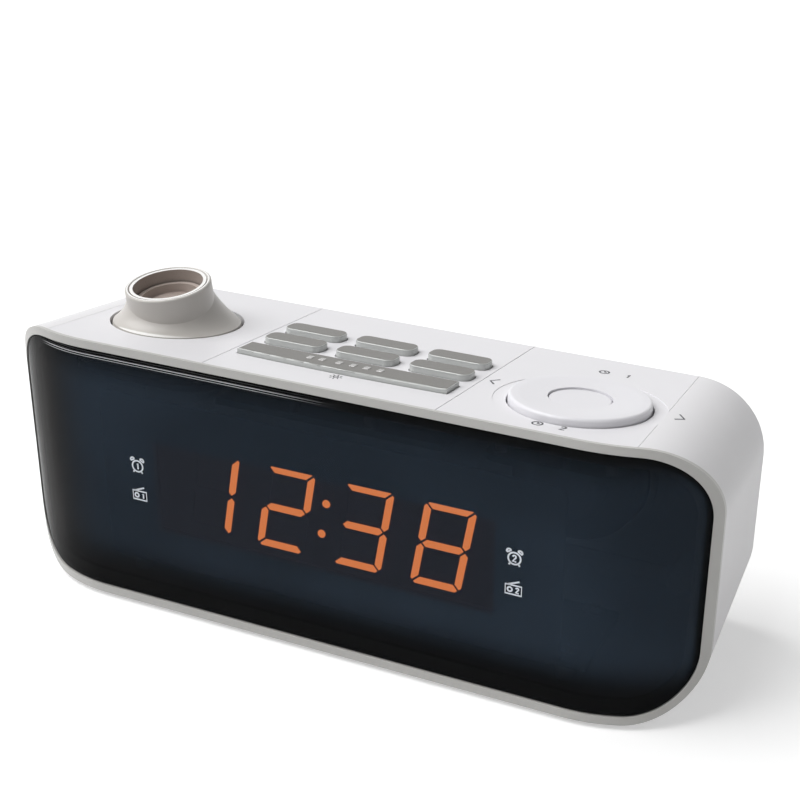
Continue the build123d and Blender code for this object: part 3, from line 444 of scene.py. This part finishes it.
@dataclass(frozen=True)
class WindowFinish(Finish):
    """Smoked glossy plastic, navy inside a printed black band, with a neutral field before the display, painted shade
    fading to black near the bottom and the top, a painted reflection at the left end and painted highlight lines along
    the top edge.

    Attributes:
        alpha: How opaque each face is.
        border_and_shade: Display colour of the printed black band at the outline, and of the painted shade near the
            bottom and the top.
        left_reflection: Display colour of the painted reflection at the left end, a darker neutral grey.
        display: Display colour before the display.
        line: Display colour of the painted highlight, thin lines along the top edge.
        left_fade: Where the painted reflection at the left end begins and is whole, sideways, in metres.
        low_fade: Where the black painted shade towards the bottom begins and is whole, upwards.
        high_fade: Where the black painted shade towards the top begins and is whole, upwards.
        edge_fade: How deep inside the outline the printed black band ends, and where it is whole.
        highlight_top: Height over which the painted highlight lines appear.
        highlight_start: Where along the window the painted highlight lines begin, and where they are whole.
        highlight_end: Where along the window the painted highlight lines have gone, and where they begin to fade.
        highlight_threads: Each painted highlight line's depth inside the outline and its width.
        clouds: Patches of colour per metre.
        cloud_stretch: How much denser they are along each axis.
        cloud_range: The noise values at which a patch begins and is whole.
        haze: Patches of roughness per metre.
    """

    alpha: float = 0.74
    border_and_shade: tuple[int, int, int] = (3, 4, 6)
    left_reflection: tuple[int, int, int] = (30, 29, 29)
    display: tuple[int, int, int] = (42, 46, 55)
    line: tuple[int, int, int] = (250, 252, 255)
    left_fade: tuple[float, float] = (-62e-3, -80e-3)
    low_fade: tuple[float, float] = (20e-3, 9e-3)
    high_fade: tuple[float, float] = (60e-3, 72e-3)
    edge_fade: tuple[float, float] = (2.6e-3, 1.5e-3)
    highlight_top: tuple[float, float] = (0.060, 0.064)
    highlight_start: tuple[float, float] = (-80e-3, -74e-3)
    highlight_end: tuple[float, float] = (8e-3, -20e-3)
    highlight_threads: tuple[tuple[float, float], ...] = ((1.45e-3, 0.10e-3), (2.05e-3, 0.06e-3))
    clouds: float = 14.0
    cloud_stretch: tuple[float, float, float] = (1.0, 1.0, 1.6)
    cloud_range: tuple[float, float] = (0.35, 0.68)
    haze: float = 60.0

    def build(self) -> bpy.types.Material:
        """Returns the finished material."""
        tree = NodeTree(self.name)
        navy = linear(*self.colour)
        black, left_reflection = linear(*self.border_and_shade), linear(*self.left_reflection)
        cloud = tree.step(tree.noise(self.clouds, 2.0, self.cloud_stretch), *self.cloud_range)
        skin = tree.blend(cloud, shade(navy, 1 - self.mottle), shade(navy, 1 + self.mottle))
        place = tree.add("ShaderNodeSeparateXYZ")
        tree.link(tree.coords.outputs["Object"], place.inputs["Vector"])
        across, height = place.outputs["X"], place.outputs["Z"]
        field_depth = tree.inside(WINDOW.display_middle, WINDOW.display_half, WINDOW.display_corner)
        skin = tree.blend(tree.step(field_depth, 0.0, WINDOW.display_fade), skin, linear(*self.display))
        # painted reflection: a darker neutral grey towards the left end
        skin = tree.blend(tree.step(across, *self.left_fade), skin, left_reflection)
        # painted shade: black fading in towards the bottom and towards the top
        skin = tree.blend(tree.step(height, *self.low_fade), skin, black)
        skin = tree.blend(tree.step(height, *self.high_fade), skin, black)
        depth = tree.inside(WINDOW.middle, WINDOW.half, WINDOW.corner)
        skin = tree.blend(tree.step(depth, *self.edge_fade), skin, black)
        # painted highlight: two thin pale lines just inside the top edge, fading out towards the right
        top = tree.math("MULTIPLY", tree.step(height, *self.highlight_top), tree.step(across, *self.highlight_start))
        highlight_mask = tree.math("MULTIPLY", top, tree.step(across, *self.highlight_end))
        for near, width in self.highlight_threads:
            rise = tree.step(depth, near - width, near)
            fall = tree.step(depth, near + 2 * width, near + width)
            highlight_thread = tree.math("MULTIPLY", tree.math("MULTIPLY", rise, fall), highlight_mask)
            skin = tree.blend(highlight_thread, skin, linear(*self.line))
        tree.link(skin, tree.shader.inputs["Base Color"])
        tree.roughen(tree.noise(self.haze), self.roughness, self.spread)
        tree.shader.inputs["Specular IOR Level"].default_value = self.specular
        tree.shader.inputs["Alpha"].default_value = self.alpha
        return tree.material


@dataclass(frozen=True)
class ClearFinish(Finish):
    """Clear plastic that shows what is behind it.

    Attributes:
        alpha: How opaque it is.
    """

    alpha: float = 1.0

    def build(self) -> bpy.types.Material:
        """Returns the finished material."""
        material = Finish.build(self)
        material.node_tree.nodes["Principled BSDF"].inputs["Alpha"].default_value = self.alpha
        return material


class Look(Enum):
    """Every finish on the clock."""

    SHELL = Finish("shell_plastic", (230, 229, 231), 0.42, 0.06, 0.015, 2600.0, 5e-6)
    PANEL = Finish("top_plastic", (230, 229, 232), 0.40, 0.06, 0.012, 2600.0, 5e-6)
    RIM = Finish("rim_plastic", (194, 193, 190), 0.38, 0.05, 0.02, 2600.0, 3e-6)
    WINDOW = WindowFinish("smoked_window", (43, 54, 66), 0.06, 0.01, 0.20, specular=0.05)
    # painted reflection: dark key tops and lighter sides, with a painted shade line where the tops round over
    KEY = FacingShadeFinish("silver_key", (104, 102, 98), 0.34, 0.05, 0.05, 3500.0, 2e-6, metal=0.15, crease_shade=True)
    DISC = Finish("disc_plastic", (229, 228, 232), 0.34, 0.05, 0.012, 2600.0, 3e-6)
    # painted highlight on the faces that look along the nozzle, painted shade on the rest of the projector head
    HEAD = FacingShadeFinish(
        "projector_plastic", (246, 245, 243), 0.36, 0.05, 0.02, 2600.0, 3e-6,
        side=(190, 186, 181), towards=NOZZLE_AXIS, sides_from=0.978, top_from=0.996,
    )
    # painted highlight on the ring's faces that look along the nozzle, painted shade on its sides
    RING = FacingShadeFinish(
        "focus_ring_plastic", (248, 247, 245), 0.30, 0.05, 0.02, 2600.0, 3e-6,
        side=(168, 157, 150), towards=NOZZLE_AXIS, sides_from=0.80, top_from=0.93,
    )
    CELL = Finish("lens_cell_plastic", (178, 167, 160), 0.34, 0.05, 0.04, 2600.0, 3e-6)
    TABLE = Finish("turntable_plastic", (46, 46, 46), 0.5, 0.05, 0.04, 2600.0, 3e-6)
    LENS = ClearFinish("lens", (196, 182, 174), 0.04, 0.01, 0.03, 400.0, 1e-8, coat=1.0, alpha=0.85)
    SLIDE = Finish("display_slide", (18, 18, 22), 0.15, 0.04, 0.15, 900.0, 1e-6)
    LED = GlowFinish("red_led", (150, 20, 16), 0.2, 0.05, 0.05, 900.0, 1e-6, strength=0.4, glow=(255, 60, 40))
    LIT = GlowFinish("lit_segment", (200, 96, 50), 0.4, 0.05, 0.08, 900.0, 1e-6, strength=8.6, glow=(255, 144, 76))
    DARK = Finish("dark_segment", (38, 24, 20), 0.5, 0.05, 0.1, 900.0, 2e-6)
    BLOCK = Finish("display_block_plastic", (46, 22, 18), 0.55, 0.05, 0.12, 1500.0, 4e-6)
    MASK = Finish("display_mask_plastic", (16, 18, 22), 0.6, 0.05, 0.12, 1500.0, 4e-6)
    BOARD = Finish("circuit_board", (34, 96, 52), 0.35, 0.08, 0.12, 1200.0, 6e-6)
    CHIP = Finish("moulded_black", (26, 26, 27), 0.45, 0.08, 0.1, 2500.0, 6e-6)
    STEEL = Finish("bright_steel", (176, 177, 179), 0.26, 0.08, 0.05, 1800.0, 3e-6, metal=1.0, stretch=(1, 1, 8))
    ZINC = Finish("black_zinc", (52, 52, 54), 0.4, 0.08, 0.08, 1800.0, 5e-6, metal=0.7)
    CONE = Finish("pressed_paper", (30, 29, 28), 0.8, 0.08, 0.15, 5200.0, 3e-5)
    SLEEVE = Finish("capacitor_sleeve", (34, 44, 92), 0.3, 0.06, 0.06, 2200.0, 3e-6)
    SOCKET = Finish("socket_plastic", (22, 22, 23), 0.3, 0.05, 0.08, 2500.0, 3e-6)
    RUBBER = Finish("foot_rubber", (28, 28, 29), 0.75, 0.08, 0.12, 3200.0, 2e-5)
    PRINT_WHITE = Finish("white_print", (226, 230, 236), 0.5, 0.05, 0.03, 3500.0, 2e-6)
    PRINT_GREY = Finish("grey_print", (66, 67, 72), 0.5, 0.05, 0.05, 3500.0, 2e-6)
    EMBOSS = Finish("embossed_silver", (178, 177, 176), 0.28, 0.05, 0.04, 3500.0, 2e-6, metal=0.4)


class Paintbox:
    """Builds each finish once and puts it on objects."""

    def __init__(self) -> None:
        """Starts with nothing built."""
        self.built: dict[Look, bpy.types.Material] = {}

    def get(self, look: Look) -> bpy.types.Material:
        """Returns the material of a finish, built on its first use."""
        if look not in self.built:
            self.built[look] = look.value.build()
        return self.built[look]

    def dress(self, thing: bpy.types.Object, look: Look) -> None:
        """Gives an object one finish in all its slots.

        Args:
            thing: The object.
            look: The finish.
        """
        material = self.get(look)
        if not thing.material_slots:
            thing.data.materials.append(material)
        for slot in thing.material_slots:
            slot.material = material


PAINT = Paintbox()

NODE_LOOKS: dict[str, Look] = {
    "housing_shell": Look.SHELL,
    "rear_cover": Look.SHELL,
    "battery_door": Look.SHELL,
    "projector_panel": Look.PANEL,
    "key_panel": Look.PANEL,
    "dial_panel": Look.PANEL,
    "front_bezel": Look.RIM,
    "front_window": Look.WINDOW,
    "key_back_left": Look.KEY,
    "key_back_middle": Look.KEY,
    "key_back_right": Look.KEY,
    "key_front_left": Look.KEY,
    "key_front_middle": Look.KEY,
    "key_front_right": Look.KEY,
    "snooze_bar": Look.KEY,
    "rocker_disc": Look.DISC,
    "centre_button": Look.DISC,
    "rocker_spring": Look.STEEL,
    "projector_turntable": Look.TABLE,
    "projector_clamp": Look.CHIP,
    "projector_head": Look.HEAD,
    "focus_ring": Look.RING,
    "lens_cell": Look.CELL,
    "projection_lens": Look.LENS,
    "projector_slide": Look.SLIDE,
    "projector_led": Look.LED,
    "projector_board": Look.BOARD,
    "display_mask": Look.MASK,
    "display_block": Look.BLOCK,
    "display_board": Look.BOARD,
    "segments_lit": Look.LIT,
    "segments_dark": Look.DARK,
    "colon_dots": Look.LIT,
    "key_board": Look.BOARD,
    "key_switches": Look.CHIP,
    "dial_board": Look.BOARD,
    "dial_switches": Look.CHIP,
    "main_board": Look.BOARD,
    "board_screws": Look.STEEL,
    "main_chips": Look.CHIP,
    "capacitors": Look.SLEEVE,
    "speaker_frame": Look.ZINC,
    "speaker_cone": Look.CONE,
    "speaker_magnet": Look.ZINC,
    "dc_jack": Look.SOCKET,
    "antenna_gland": Look.SOCKET,
    "cover_screws": Look.STEEL,
    "cell_holder": Look.CHIP,
    "coin_cell": Look.STEEL,
    "front_feet": Look.RUBBER,
    "rear_feet": Look.RUBBER,
}


def dress_frame() -> None:
    """Puts its finish on every piece that comes from the frame."""
    for name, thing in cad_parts.items():
        PAINT.dress(thing, NODE_LOOKS[name])
        LOG.info("dressed %s", name)


# --------------------------------------------------------------------------------------------
# Modelling helpers
# --------------------------------------------------------------------------------------------


def alone(thing: bpy.types.Object) -> None:
    """Makes an object the only selected and the active one."""
    bpy.ops.object.select_all(action="DESELECT")
    thing.select_set(True)
    bpy.context.view_layer.objects.active = thing


def settle(thing: bpy.types.Object, place: Matrix) -> None:
    """Moves an object's place into its mesh.

    Args:
        thing: The object, modelled about the world's origin.
        place: Where its mesh goes.
    """
    alone(thing)
    bpy.ops.object.transform_apply(location=True, rotation=True, scale=True)
    thing.data.transform(place)
    thing.data.update()


def join(things: list[bpy.types.Object], name: str) -> bpy.types.Object:
    """Joins mesh objects into one.

    Args:
        things: The objects.
        name: The joined object's name.

    Returns:
        The joined object.
    """
    bpy.ops.object.select_all(action="DESELECT")
    for thing in things:
        thing.select_set(True)
    bpy.context.view_layer.objects.active = things[0]
    if len(things) > 1:
        bpy.ops.object.join()
    joined = bpy.context.object
    joined.name = name
    return joined


def finish_piece(thing: bpy.types.Object, place: Matrix, look: Look, body: str) -> None:
    """Places a piece, dresses it and lets it ride on a body.

    Args:
        thing: The piece.
        place: Where its mesh goes.
        look: Its finish.
        body: The body that it rides on.
    """
    settle(thing, place)
    PAINT.dress(thing, look)
    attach(thing, body)
    LOG.info("made %s", thing.name)


Point = tuple[float, float]
Line = tuple[list[Point], bool]  # its points, and whether it is closed

RING_END = 345  # degrees at which an arc stops that a last span then closes
PERCH_START = 20.0  # millimetres over the top from which a place on it is sought


def stroke(points: list[Point], width: float, thickness: float, closed: bool) -> bpy.types.Object:
    """A printed line of even width.

    Args:
        points: The line's points, in metres.
        width: Its width.
        thickness: Its thickness.
        closed: Whether it runs back to its start.

    Returns:
        The new object.
    """
    outer, inner = [], []
    count = len(points)
    for index, (x, y) in enumerate(points):
        before = points[(index - 1) % count] if closed or index else points[index]
        after = points[(index + 1) % count] if closed or index < count - 1 else points[index]
        run = Vector((after[0] - before[0], after[1] - before[1])).normalized()
        side = Vector((-run.y, run.x)) * (width / 2)
        outer.append((x + side.x, y + side.y))
        inner.append((x - side.x, y - side.y))
    spans = count if closed else count - 1
    mesh = bpy.data.meshes.new("stroke")
    verts = [(x, y, z) for z in (-thickness / 2, thickness / 2) for x, y in outer + inner]
    faces = []
    for a in range(spans):
        b = (a + 1) % count
        low, high = (a, b, b + count, a + count), (a, a + count, b + count, b)
        faces.append(low)
        faces.append(tuple(v + 2 * count for v in high))
        faces.append((a, a + 2 * count, b + 2 * count, b))
        faces.append((a + count, b + count, b + 3 * count, a + 3 * count))
    if not closed:
        for a in (0, count - 1):
            ring = (a, a + count, a + 3 * count, a + 2 * count)
            faces.append(ring if a == 0 else ring[::-1])
    mesh.from_pydata(verts, [], faces)
    mesh.update()
    thing = bpy.data.objects.new("stroke", mesh)
    bpy.context.scene.collection.objects.link(thing)
    alone(thing)
    bpy.ops.object.mode_set(mode="EDIT")
    bpy.ops.mesh.select_all(action="SELECT")
    bpy.ops.mesh.normals_make_consistent(inside=False)
    bpy.ops.object.mode_set(mode="OBJECT")
    return thing


def arc(
    x: float, y: float, radius: float, start: float = 0, stop: float = RING_END, count: int = 24
) -> list[Point]:
    """Points along an arc.

    Args:
        x: Its centre sideways.
        y: Its centre upwards.
        radius: Its radius.
        start: Angle of its start, in degrees.
        stop: Angle of its end.
        count: How many spans it has.

    Returns:
        The points.
    """
    turns = [math.radians(start + (stop - start) * i / count) for i in range(count + 1)]
    return [(x + radius * math.cos(turn), y + radius * math.sin(turn)) for turn in turns]


def scaled(points: list[Point], size: float, x: float = 0, y: float = 0) -> list[Point]:
    """Points made larger and moved.

    Args:
        points: The points, for a size of 1.
        size: How large they get.
        x: How far they move sideways.
        y: How far they move upwards.

    Returns:
        The new points.
    """
    return [(x + size * px, y + size * py) for px, py in points]


def perch(node: str, x: float, back: float) -> Matrix:
    """Frame on the upper face of a panel, lying against it whichever way it curves.

    Args:
        node: The panel's name.
        x: How far to the right, in millimetres.
        back: How far behind the front edge, in millimetres.

    Returns:
        The frame: y rearwards, z out of the panel.
    """
    top = CASE.top_frame()
    start = top @ (Vector((x, back, PERCH_START)) * MM)
    down = -top.to_3x3().col[2]
    hit, spot, normal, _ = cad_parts[node].ray_cast(start, down)
    if not hit:
        raise ValueError(f"nothing under the mark on {node}")
    side = top.to_3x3().col[1].cross(normal).normalized()
    axes = Matrix((side, normal.cross(side), normal)).transposed()
    return Matrix.Translation(spot) @ axes.to_4x4()


# --------------------------------------------------------------------------------------------
# Printed and embossed marks
# --------------------------------------------------------------------------------------------

NUMERALS: dict[int, list[Point]] = {
    1: [(-0.12, 0.28), (0.06, 0.5), (0.06, -0.5)],
    2: [(-0.26, 0.26), (-0.16, 0.44), (0.04, 0.5), (0.22, 0.38), (0.22, 0.18), (-0.26, -0.5), (0.28, -0.5)],
}
ARROW: list[Point] = [(-2.0, -0.8), (0.0, 0.9), (2.0, -0.8)]


@dataclass
class Marks:
    """Printed pictograms on the window and small marks on the top, in millimetres.

    Attributes:
        line: Line width of the pictograms.
        ink: Thickness of the print.
        icon: Height of a pictogram.
        icon_x: How far left and right of the middle they stand.
        left_rows: Heights of the two on the left.
        right_rows: Heights of the two on the right.
        window_recess: How far the window lies behind the front.
        gap: Air under the print.
        alarm_places: The two alarm marks, to the right and behind the front edge.
        alarm_line: Their line width.
        dial_x: How far right of an alarm mark's middle its dial stands.
        dial_radius: The dial's radius.
        numeral_x: How far right of that middle its numeral stands.
        numeral_height: The numeral's height.
        arrows: Each arrow's name, panel, place to the right and turn in degrees.
        arrow_back: How far behind the front edge the arrows stand.
        arrow_line: Their line width.
        lamp_place: The lamp, to the right and behind the front edge.
        lamp_line: Its line width.
        lamp_radius: Its radius.
        lamp_rays: Where its rays start and end, from its middle.
        ray_count: How many rays it has.
    """

    line: float = 0.42
    ink: float = 0.03
    icon: float = 4.0
    icon_x: float = 50.8
    left_rows: tuple[float, float] = (41.2, 33.2)
    right_rows: tuple[float, float] = (40.3, 32.3)
    window_recess: float = 0.3
    gap: float = 0.004
    alarm_places: tuple[tuple[float, float], ...] = ((55.8, 50.4), (56.0, 5.85))
    alarm_line: float = 0.42
    dial_x: float = -3.2
    dial_radius: float = 1.15
    numeral_x: float = 2.8
    numeral_height: float = 2.2
    arrows: tuple[tuple[str, str, float, float], ...] = (
        ("left", "dial_panel", 33.1, 90.0),
        ("right", "housing_shell", 78.5, -90.0),
    )
    arrow_back: float = 28.0
    arrow_line: float = 0.46
    lamp_place: tuple[float, float] = (0.9, 9.6)
    lamp_line: float = 0.30
    lamp_radius: float = 0.6
    lamp_rays: tuple[float, float] = (1.05, 1.6)
    ray_count: int = 8

    def draw(self, lines: list[Line], width: float) -> list[bpy.types.Object]:
        """Strokes given in millimetres.

        Args:
            lines: Each line's points and whether it is closed.
            width: Line width in millimetres.

        Returns:
            The new objects.
        """
        return [
            stroke([(x * MM, y * MM) for x, y in points], width * MM, self.ink * MM, closed) for points, closed in lines
        ]

    def numeral(self, number: int, x: float, y: float, height: float) -> Line:
        """The line of a small numeral, about a point and as high as given."""
        return (scaled(NUMERALS[number], height, x, y), False)

    def bell_clock(self, number: int) -> list[Line]:
        """Lines of a twin-bell clock with a numeral in its dial, for a height of 1."""
        return [
            (arc(0, -0.05, 0.38), True),
            (arc(-0.33, 0.36, 0.15, 30, 210, 10), True),
            (arc(0.33, 0.36, 0.15, -30, 150, 10), True),
            ([(-0.24, -0.36), (-0.34, -0.5)], False),
            ([(0.24, -0.36), (0.34, -0.5)], False),
            self.numeral(number, 0, -0.05, 0.4),
        ]

    def radio(self, number: int) -> list[Line]:
        """Lines of a small radio with an aerial and a numeral, for a height of 1."""
        return [
            ([(-0.5, -0.4), (0.5, -0.4), (0.5, 0.2), (-0.5, 0.2)], True),
            ([(-0.36, 0.2), (0.36, 0.5)], False),
            (arc(-0.22, -0.1, 0.14, count=16), True),
            self.numeral(number, 0.24, -0.1, 0.34),
        ]

    def print_on(self, lines: list[Line], width: float, place: Matrix, name: str, look: Look) -> None:
        """Prints lines as one piece that rides on the case.

        Args:
            lines: The lines.
            width: Their width in millimetres.
            place: Where they go.
            name: The piece's name.
            look: Its finish.
        """
        lift = Matrix.Translation(Vector((0, 0, self.ink / 2 + self.gap)) * MM)
        finish_piece(join(self.draw(lines, width), name), place @ lift, look, "case")

    def window_marks(self) -> None:
        """Prints the four pictograms on the front of the window."""
        plane = CASE.front_frame(self.window_recess)
        for side, sign, number, rows in (("left", -1, 1, self.left_rows), ("right", 1, 2, self.right_rows)):
            for row, kind, draw in zip(rows, ("alarm", "radio"), (self.bell_clock, self.radio)):
                at = plane @ Matrix.Translation(Vector((sign * self.icon_x * MM, row * MM, 0)))
                lines = [(scaled(points, self.icon), closed) for points, closed in draw(number)]
                self.print_on(lines, self.line, at, f"pictogram_{side}_{kind}", Look.PRINT_WHITE)

    def top_marks(self) -> None:
        """Prints two small clocks with their numbers, two arrows, and a lamp before the snooze bar."""
        for number, (x, back) in enumerate(self.alarm_places, 1):
            lines = [
                (arc(self.dial_x, 0, self.dial_radius), True),
                ([(self.dial_x, 0.7), (self.dial_x, 0.0), (self.dial_x + 0.6, 0.0)], False),
                self.numeral(number, self.numeral_x, 0, self.numeral_height),
            ]
            self.print_grey(lines, self.alarm_line, perch("dial_panel", x, back), f"mark_alarm_{number}")
        for name, node, x, turn in self.arrows:
            place = perch(node, x, self.arrow_back) @ Matrix.Rotation(math.radians(turn), 4, "Z")
            self.print_grey([(ARROW, False)], self.arrow_line, place, f"mark_{name}")
        rays = arc(0, 0, 1.0, stop=360, count=self.ray_count)[:-1]
        lines = [(arc(0, 0, self.lamp_radius, count=16), True)]
        lines += [([(x * reach, y * reach) for reach in self.lamp_rays], False) for x, y in rays]
        self.print_grey(lines, self.lamp_line, perch("key_panel", *self.lamp_place), "mark_lamp")

    def print_grey(self, lines: list[Line], width: float, place: Matrix, name: str) -> None:
        """Prints grey lines on the top."""
        self.print_on(lines, width, place, name, Look.PRINT_GREY)


@dataclass
class SnoozeRelief:
    """Small raised bars on the snooze bar.

    Attributes:
        places: How far along the bar each one stands, in millimetres.
        back: How far behind the front edge they stand.
        height: Their height above the bar.
        rise: The snooze bar's own height above the top.
        size: Each one's length and width.
        edge: How far its edges are rounded.
        steps: How many faces round each edge has.
    """

    places: tuple[float, ...] = (-9.6, -6.4, -1.8, 1.9, 5.5, 9.1)
    back: float = 16.4
    height: float = 0.14
    rise: float = 1.2
    size: tuple[float, float] = (1.5, 2.0)
    edge: float = 0.12
    steps: int = 3

    def build(self) -> None:
        """Models each bar with rounded edges and joins them."""
        bars = []
        for place in self.places:
            bpy.ops.object.select_all(action="DESELECT")
            scale = (self.size[0] * MM, self.size[1] * MM, 2 * self.height * MM)
            bpy.ops.mesh.primitive_cube_add(size=1.0, location=(place * MM, 0, 0), scale=scale)
            bar = bpy.context.object
            bpy.ops.object.transform_apply(location=True, rotation=True, scale=True)
            bevel = bar.modifiers.new("edge", "BEVEL")
            bevel.width = self.edge * MM
            bevel.segments = self.steps
            bpy.ops.object.modifier_apply(modifier=bevel.name)
            bars.append(bar)
        at = CASE.top_frame() @ Matrix.Translation(Vector((0, self.back, self.rise)) * MM)
        finish_piece(join(bars, "snooze_relief"), at, Look.EMBOSS, "snooze")


# --------------------------------------------------------------------------------------------
# Studio and camera
# --------------------------------------------------------------------------------------------


@dataclass
class Studio:
    """Floor, lamps, world and camera.

    Attributes:
        eye: The camera's place, in metres.
        azimuth: Its turn to the clock's right, in degrees.
        elevation: Its height angle, in degrees.
        lens: Focal length, in millimetres.
        sensor: Width of the sensor behind it.
        clip: The nearest and the furthest that the camera sees, in metres.
        shift: Upward shift of the frame.
        ambient: Brightness that the surround gives to white paper.
        floor_lift: What the floor shows to the camera over its own brightness.
        floor_size: Its width, in metres.
        floor_shades: Its darkest and lightest linear grey.
        floor_clouds: Patches of grey per metre.
        floor_roughness: Its roughness.
        floor_specular: Strength of its plain reflection.
        lamps: Each lamp's name, direction, width in degrees and brightness.
    """

    eye: tuple[float, float, float] = (0.1679, -0.3269, 0.2209)
    azimuth: float = 26.209
    elevation: float = 27.385
    lens: float = 73.02
    sensor: float = 36.0
    clip: tuple[float, float] = (0.01, 20.0)
    shift: float = 0.1175
    ambient: float = 0.19
    floor_lift: float = 0.43
    floor_size: float = 8.0
    floor_shades: tuple[float, float] = (0.71, 0.73)
    floor_clouds: float = 12.0
    floor_roughness: float = 0.9
    floor_specular: float = 0.1
    lamps: tuple[tuple[str, tuple[float, float, float], float, float], ...] = (
        ("key_lamp", (-0.54, -0.22, 0.81), 60.0, 0.98),
        ("side_lamp", (0.96, -0.22, 0.02), 24.0, 0.04),
    )

    def camera(self) -> None:
        """Sets up the camera."""
        data = bpy.data.cameras.new("camera")
        data.lens = self.lens
        data.sensor_width = self.sensor
        data.sensor_fit = "HORIZONTAL"
        data.shift_y = self.shift
        data.clip_start, data.clip_end = self.clip
        eye = bpy.data.objects.new("camera", data)
        eye.location = self.eye
        turn, tilt = math.radians(self.azimuth), math.radians(self.elevation)
        eye.rotation_euler = (math.pi / 2 - tilt, 0.0, turn)
        bpy.context.scene.collection.objects.link(eye)
        bpy.context.scene.camera = eye

    def world(self) -> None:
        """Sets a soft neutral surround that the camera and gloss see as white."""
        world = bpy.data.worlds.new("surround")
        world.use_nodes = True
        tree = world.node_tree
        soft = tree.nodes["Background"]
        soft.inputs["Color"].default_value = (1.0, 1.0, 1.0, 1.0)
        soft.inputs["Strength"].default_value = self.ambient
        white = tree.nodes.new("ShaderNodeBackground")
        white.inputs["Color"].default_value = (1.0, 1.0, 1.0, 1.0)
        white.inputs["Strength"].default_value = 1.0
        mix = tree.nodes.new("ShaderNodeMixShader")
        tree.links.new(self.seen(tree), mix.inputs["Fac"])
        tree.links.new(soft.outputs["Background"], mix.inputs[1])
        tree.links.new(white.outputs["Background"], mix.inputs[2])
        tree.links.new(mix.outputs["Shader"], tree.nodes["World Output"].inputs["Surface"])
        bpy.context.scene.world = world

    def seen(self, tree: bpy.types.NodeTree) -> bpy.types.NodeSocket:
        """Is 1 for a ray of the camera, of gloss or through glass, and 0 for a ray of light.

        Args:
            tree: The node tree that it goes into.

        Returns:
            Its socket.
        """
        rays = tree.nodes.new("ShaderNodeLightPath")
        result = rays.outputs["Is Camera Ray"]
        for name in ("Is Glossy Ray", "Is Transmission Ray"):
            either = tree.nodes.new("ShaderNodeMath")
            either.operation = "MAXIMUM"
            tree.links.new(result, either.inputs[0])
            tree.links.new(rays.outputs[name], either.inputs[1])
            result = either.outputs["Value"]
        return result

    def floor(self) -> None:
        """Lays a plain pale floor, white to the camera where nothing shades it."""
        bpy.ops.object.select_all(action="DESELECT")
        bpy.ops.mesh.primitive_plane_add(size=self.floor_size, location=(0, 0, 0))
        ground = bpy.context.object
        ground.name = "floor"
        tree = NodeTree("pale_floor")
        dark, pale = ((grey, grey, grey, 1.0) for grey in self.floor_shades)
        tree.link(tree.blend(tree.noise(self.floor_clouds), dark, pale), tree.shader.inputs["Base Color"])
        tree.shader.inputs["Roughness"].default_value = self.floor_roughness
        tree.shader.inputs["Specular IOR Level"].default_value = self.floor_specular
        tree.shader.inputs["Emission Color"].default_value = (1.0, 1.0, 1.0, 1.0)
        lift = tree.math("MULTIPLY", self.seen(tree.tree), self.floor_lift)
        tree.link(lift, tree.shader.inputs["Emission Strength"])
        ground.data.materials.append(tree.material)

    def sun(self, name: str, towards: tuple[float, float, float], width: float, strength: float) -> None:
        """Adds a broad lamp far away, so that its light is as strong all over the floor.

        Args:
            name: Its name.
            towards: The direction in which it stands.
            width: Its width as an angle, in degrees.
            strength: The brightness that it gives to white paper that faces it.
        """
        data = bpy.data.lights.new(name, "SUN")
        data.angle = math.radians(width)
        data.energy = strength * math.pi
        light = bpy.data.objects.new(name, data)
        light.rotation_euler = (-Vector(towards)).to_track_quat("-Z", "Y").to_euler()
        bpy.context.scene.collection.objects.link(light)

    def build(self) -> None:
        """Builds the whole studio."""
        bpy.context.scene.view_settings.view_transform = "Standard"
        self.camera()
        self.world()
        self.floor()
        for lamp in self.lamps:
            self.sun(*lamp)
        LOG.info("studio ready")


# --------------------------------------------------------------------------------------------
# Main
# --------------------------------------------------------------------------------------------


def main() -> None:
    """Builds everything in order."""
    logging.basicConfig(level=logging.INFO, format="%(name)s: %(message)s")
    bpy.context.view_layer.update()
    dress_frame()
    marks = Marks()
    marks.window_marks()
    marks.top_marks()
    SnoozeRelief().build()
    Studio().build()
    LOG.info("done")


if __name__ == "__main__":
    main()
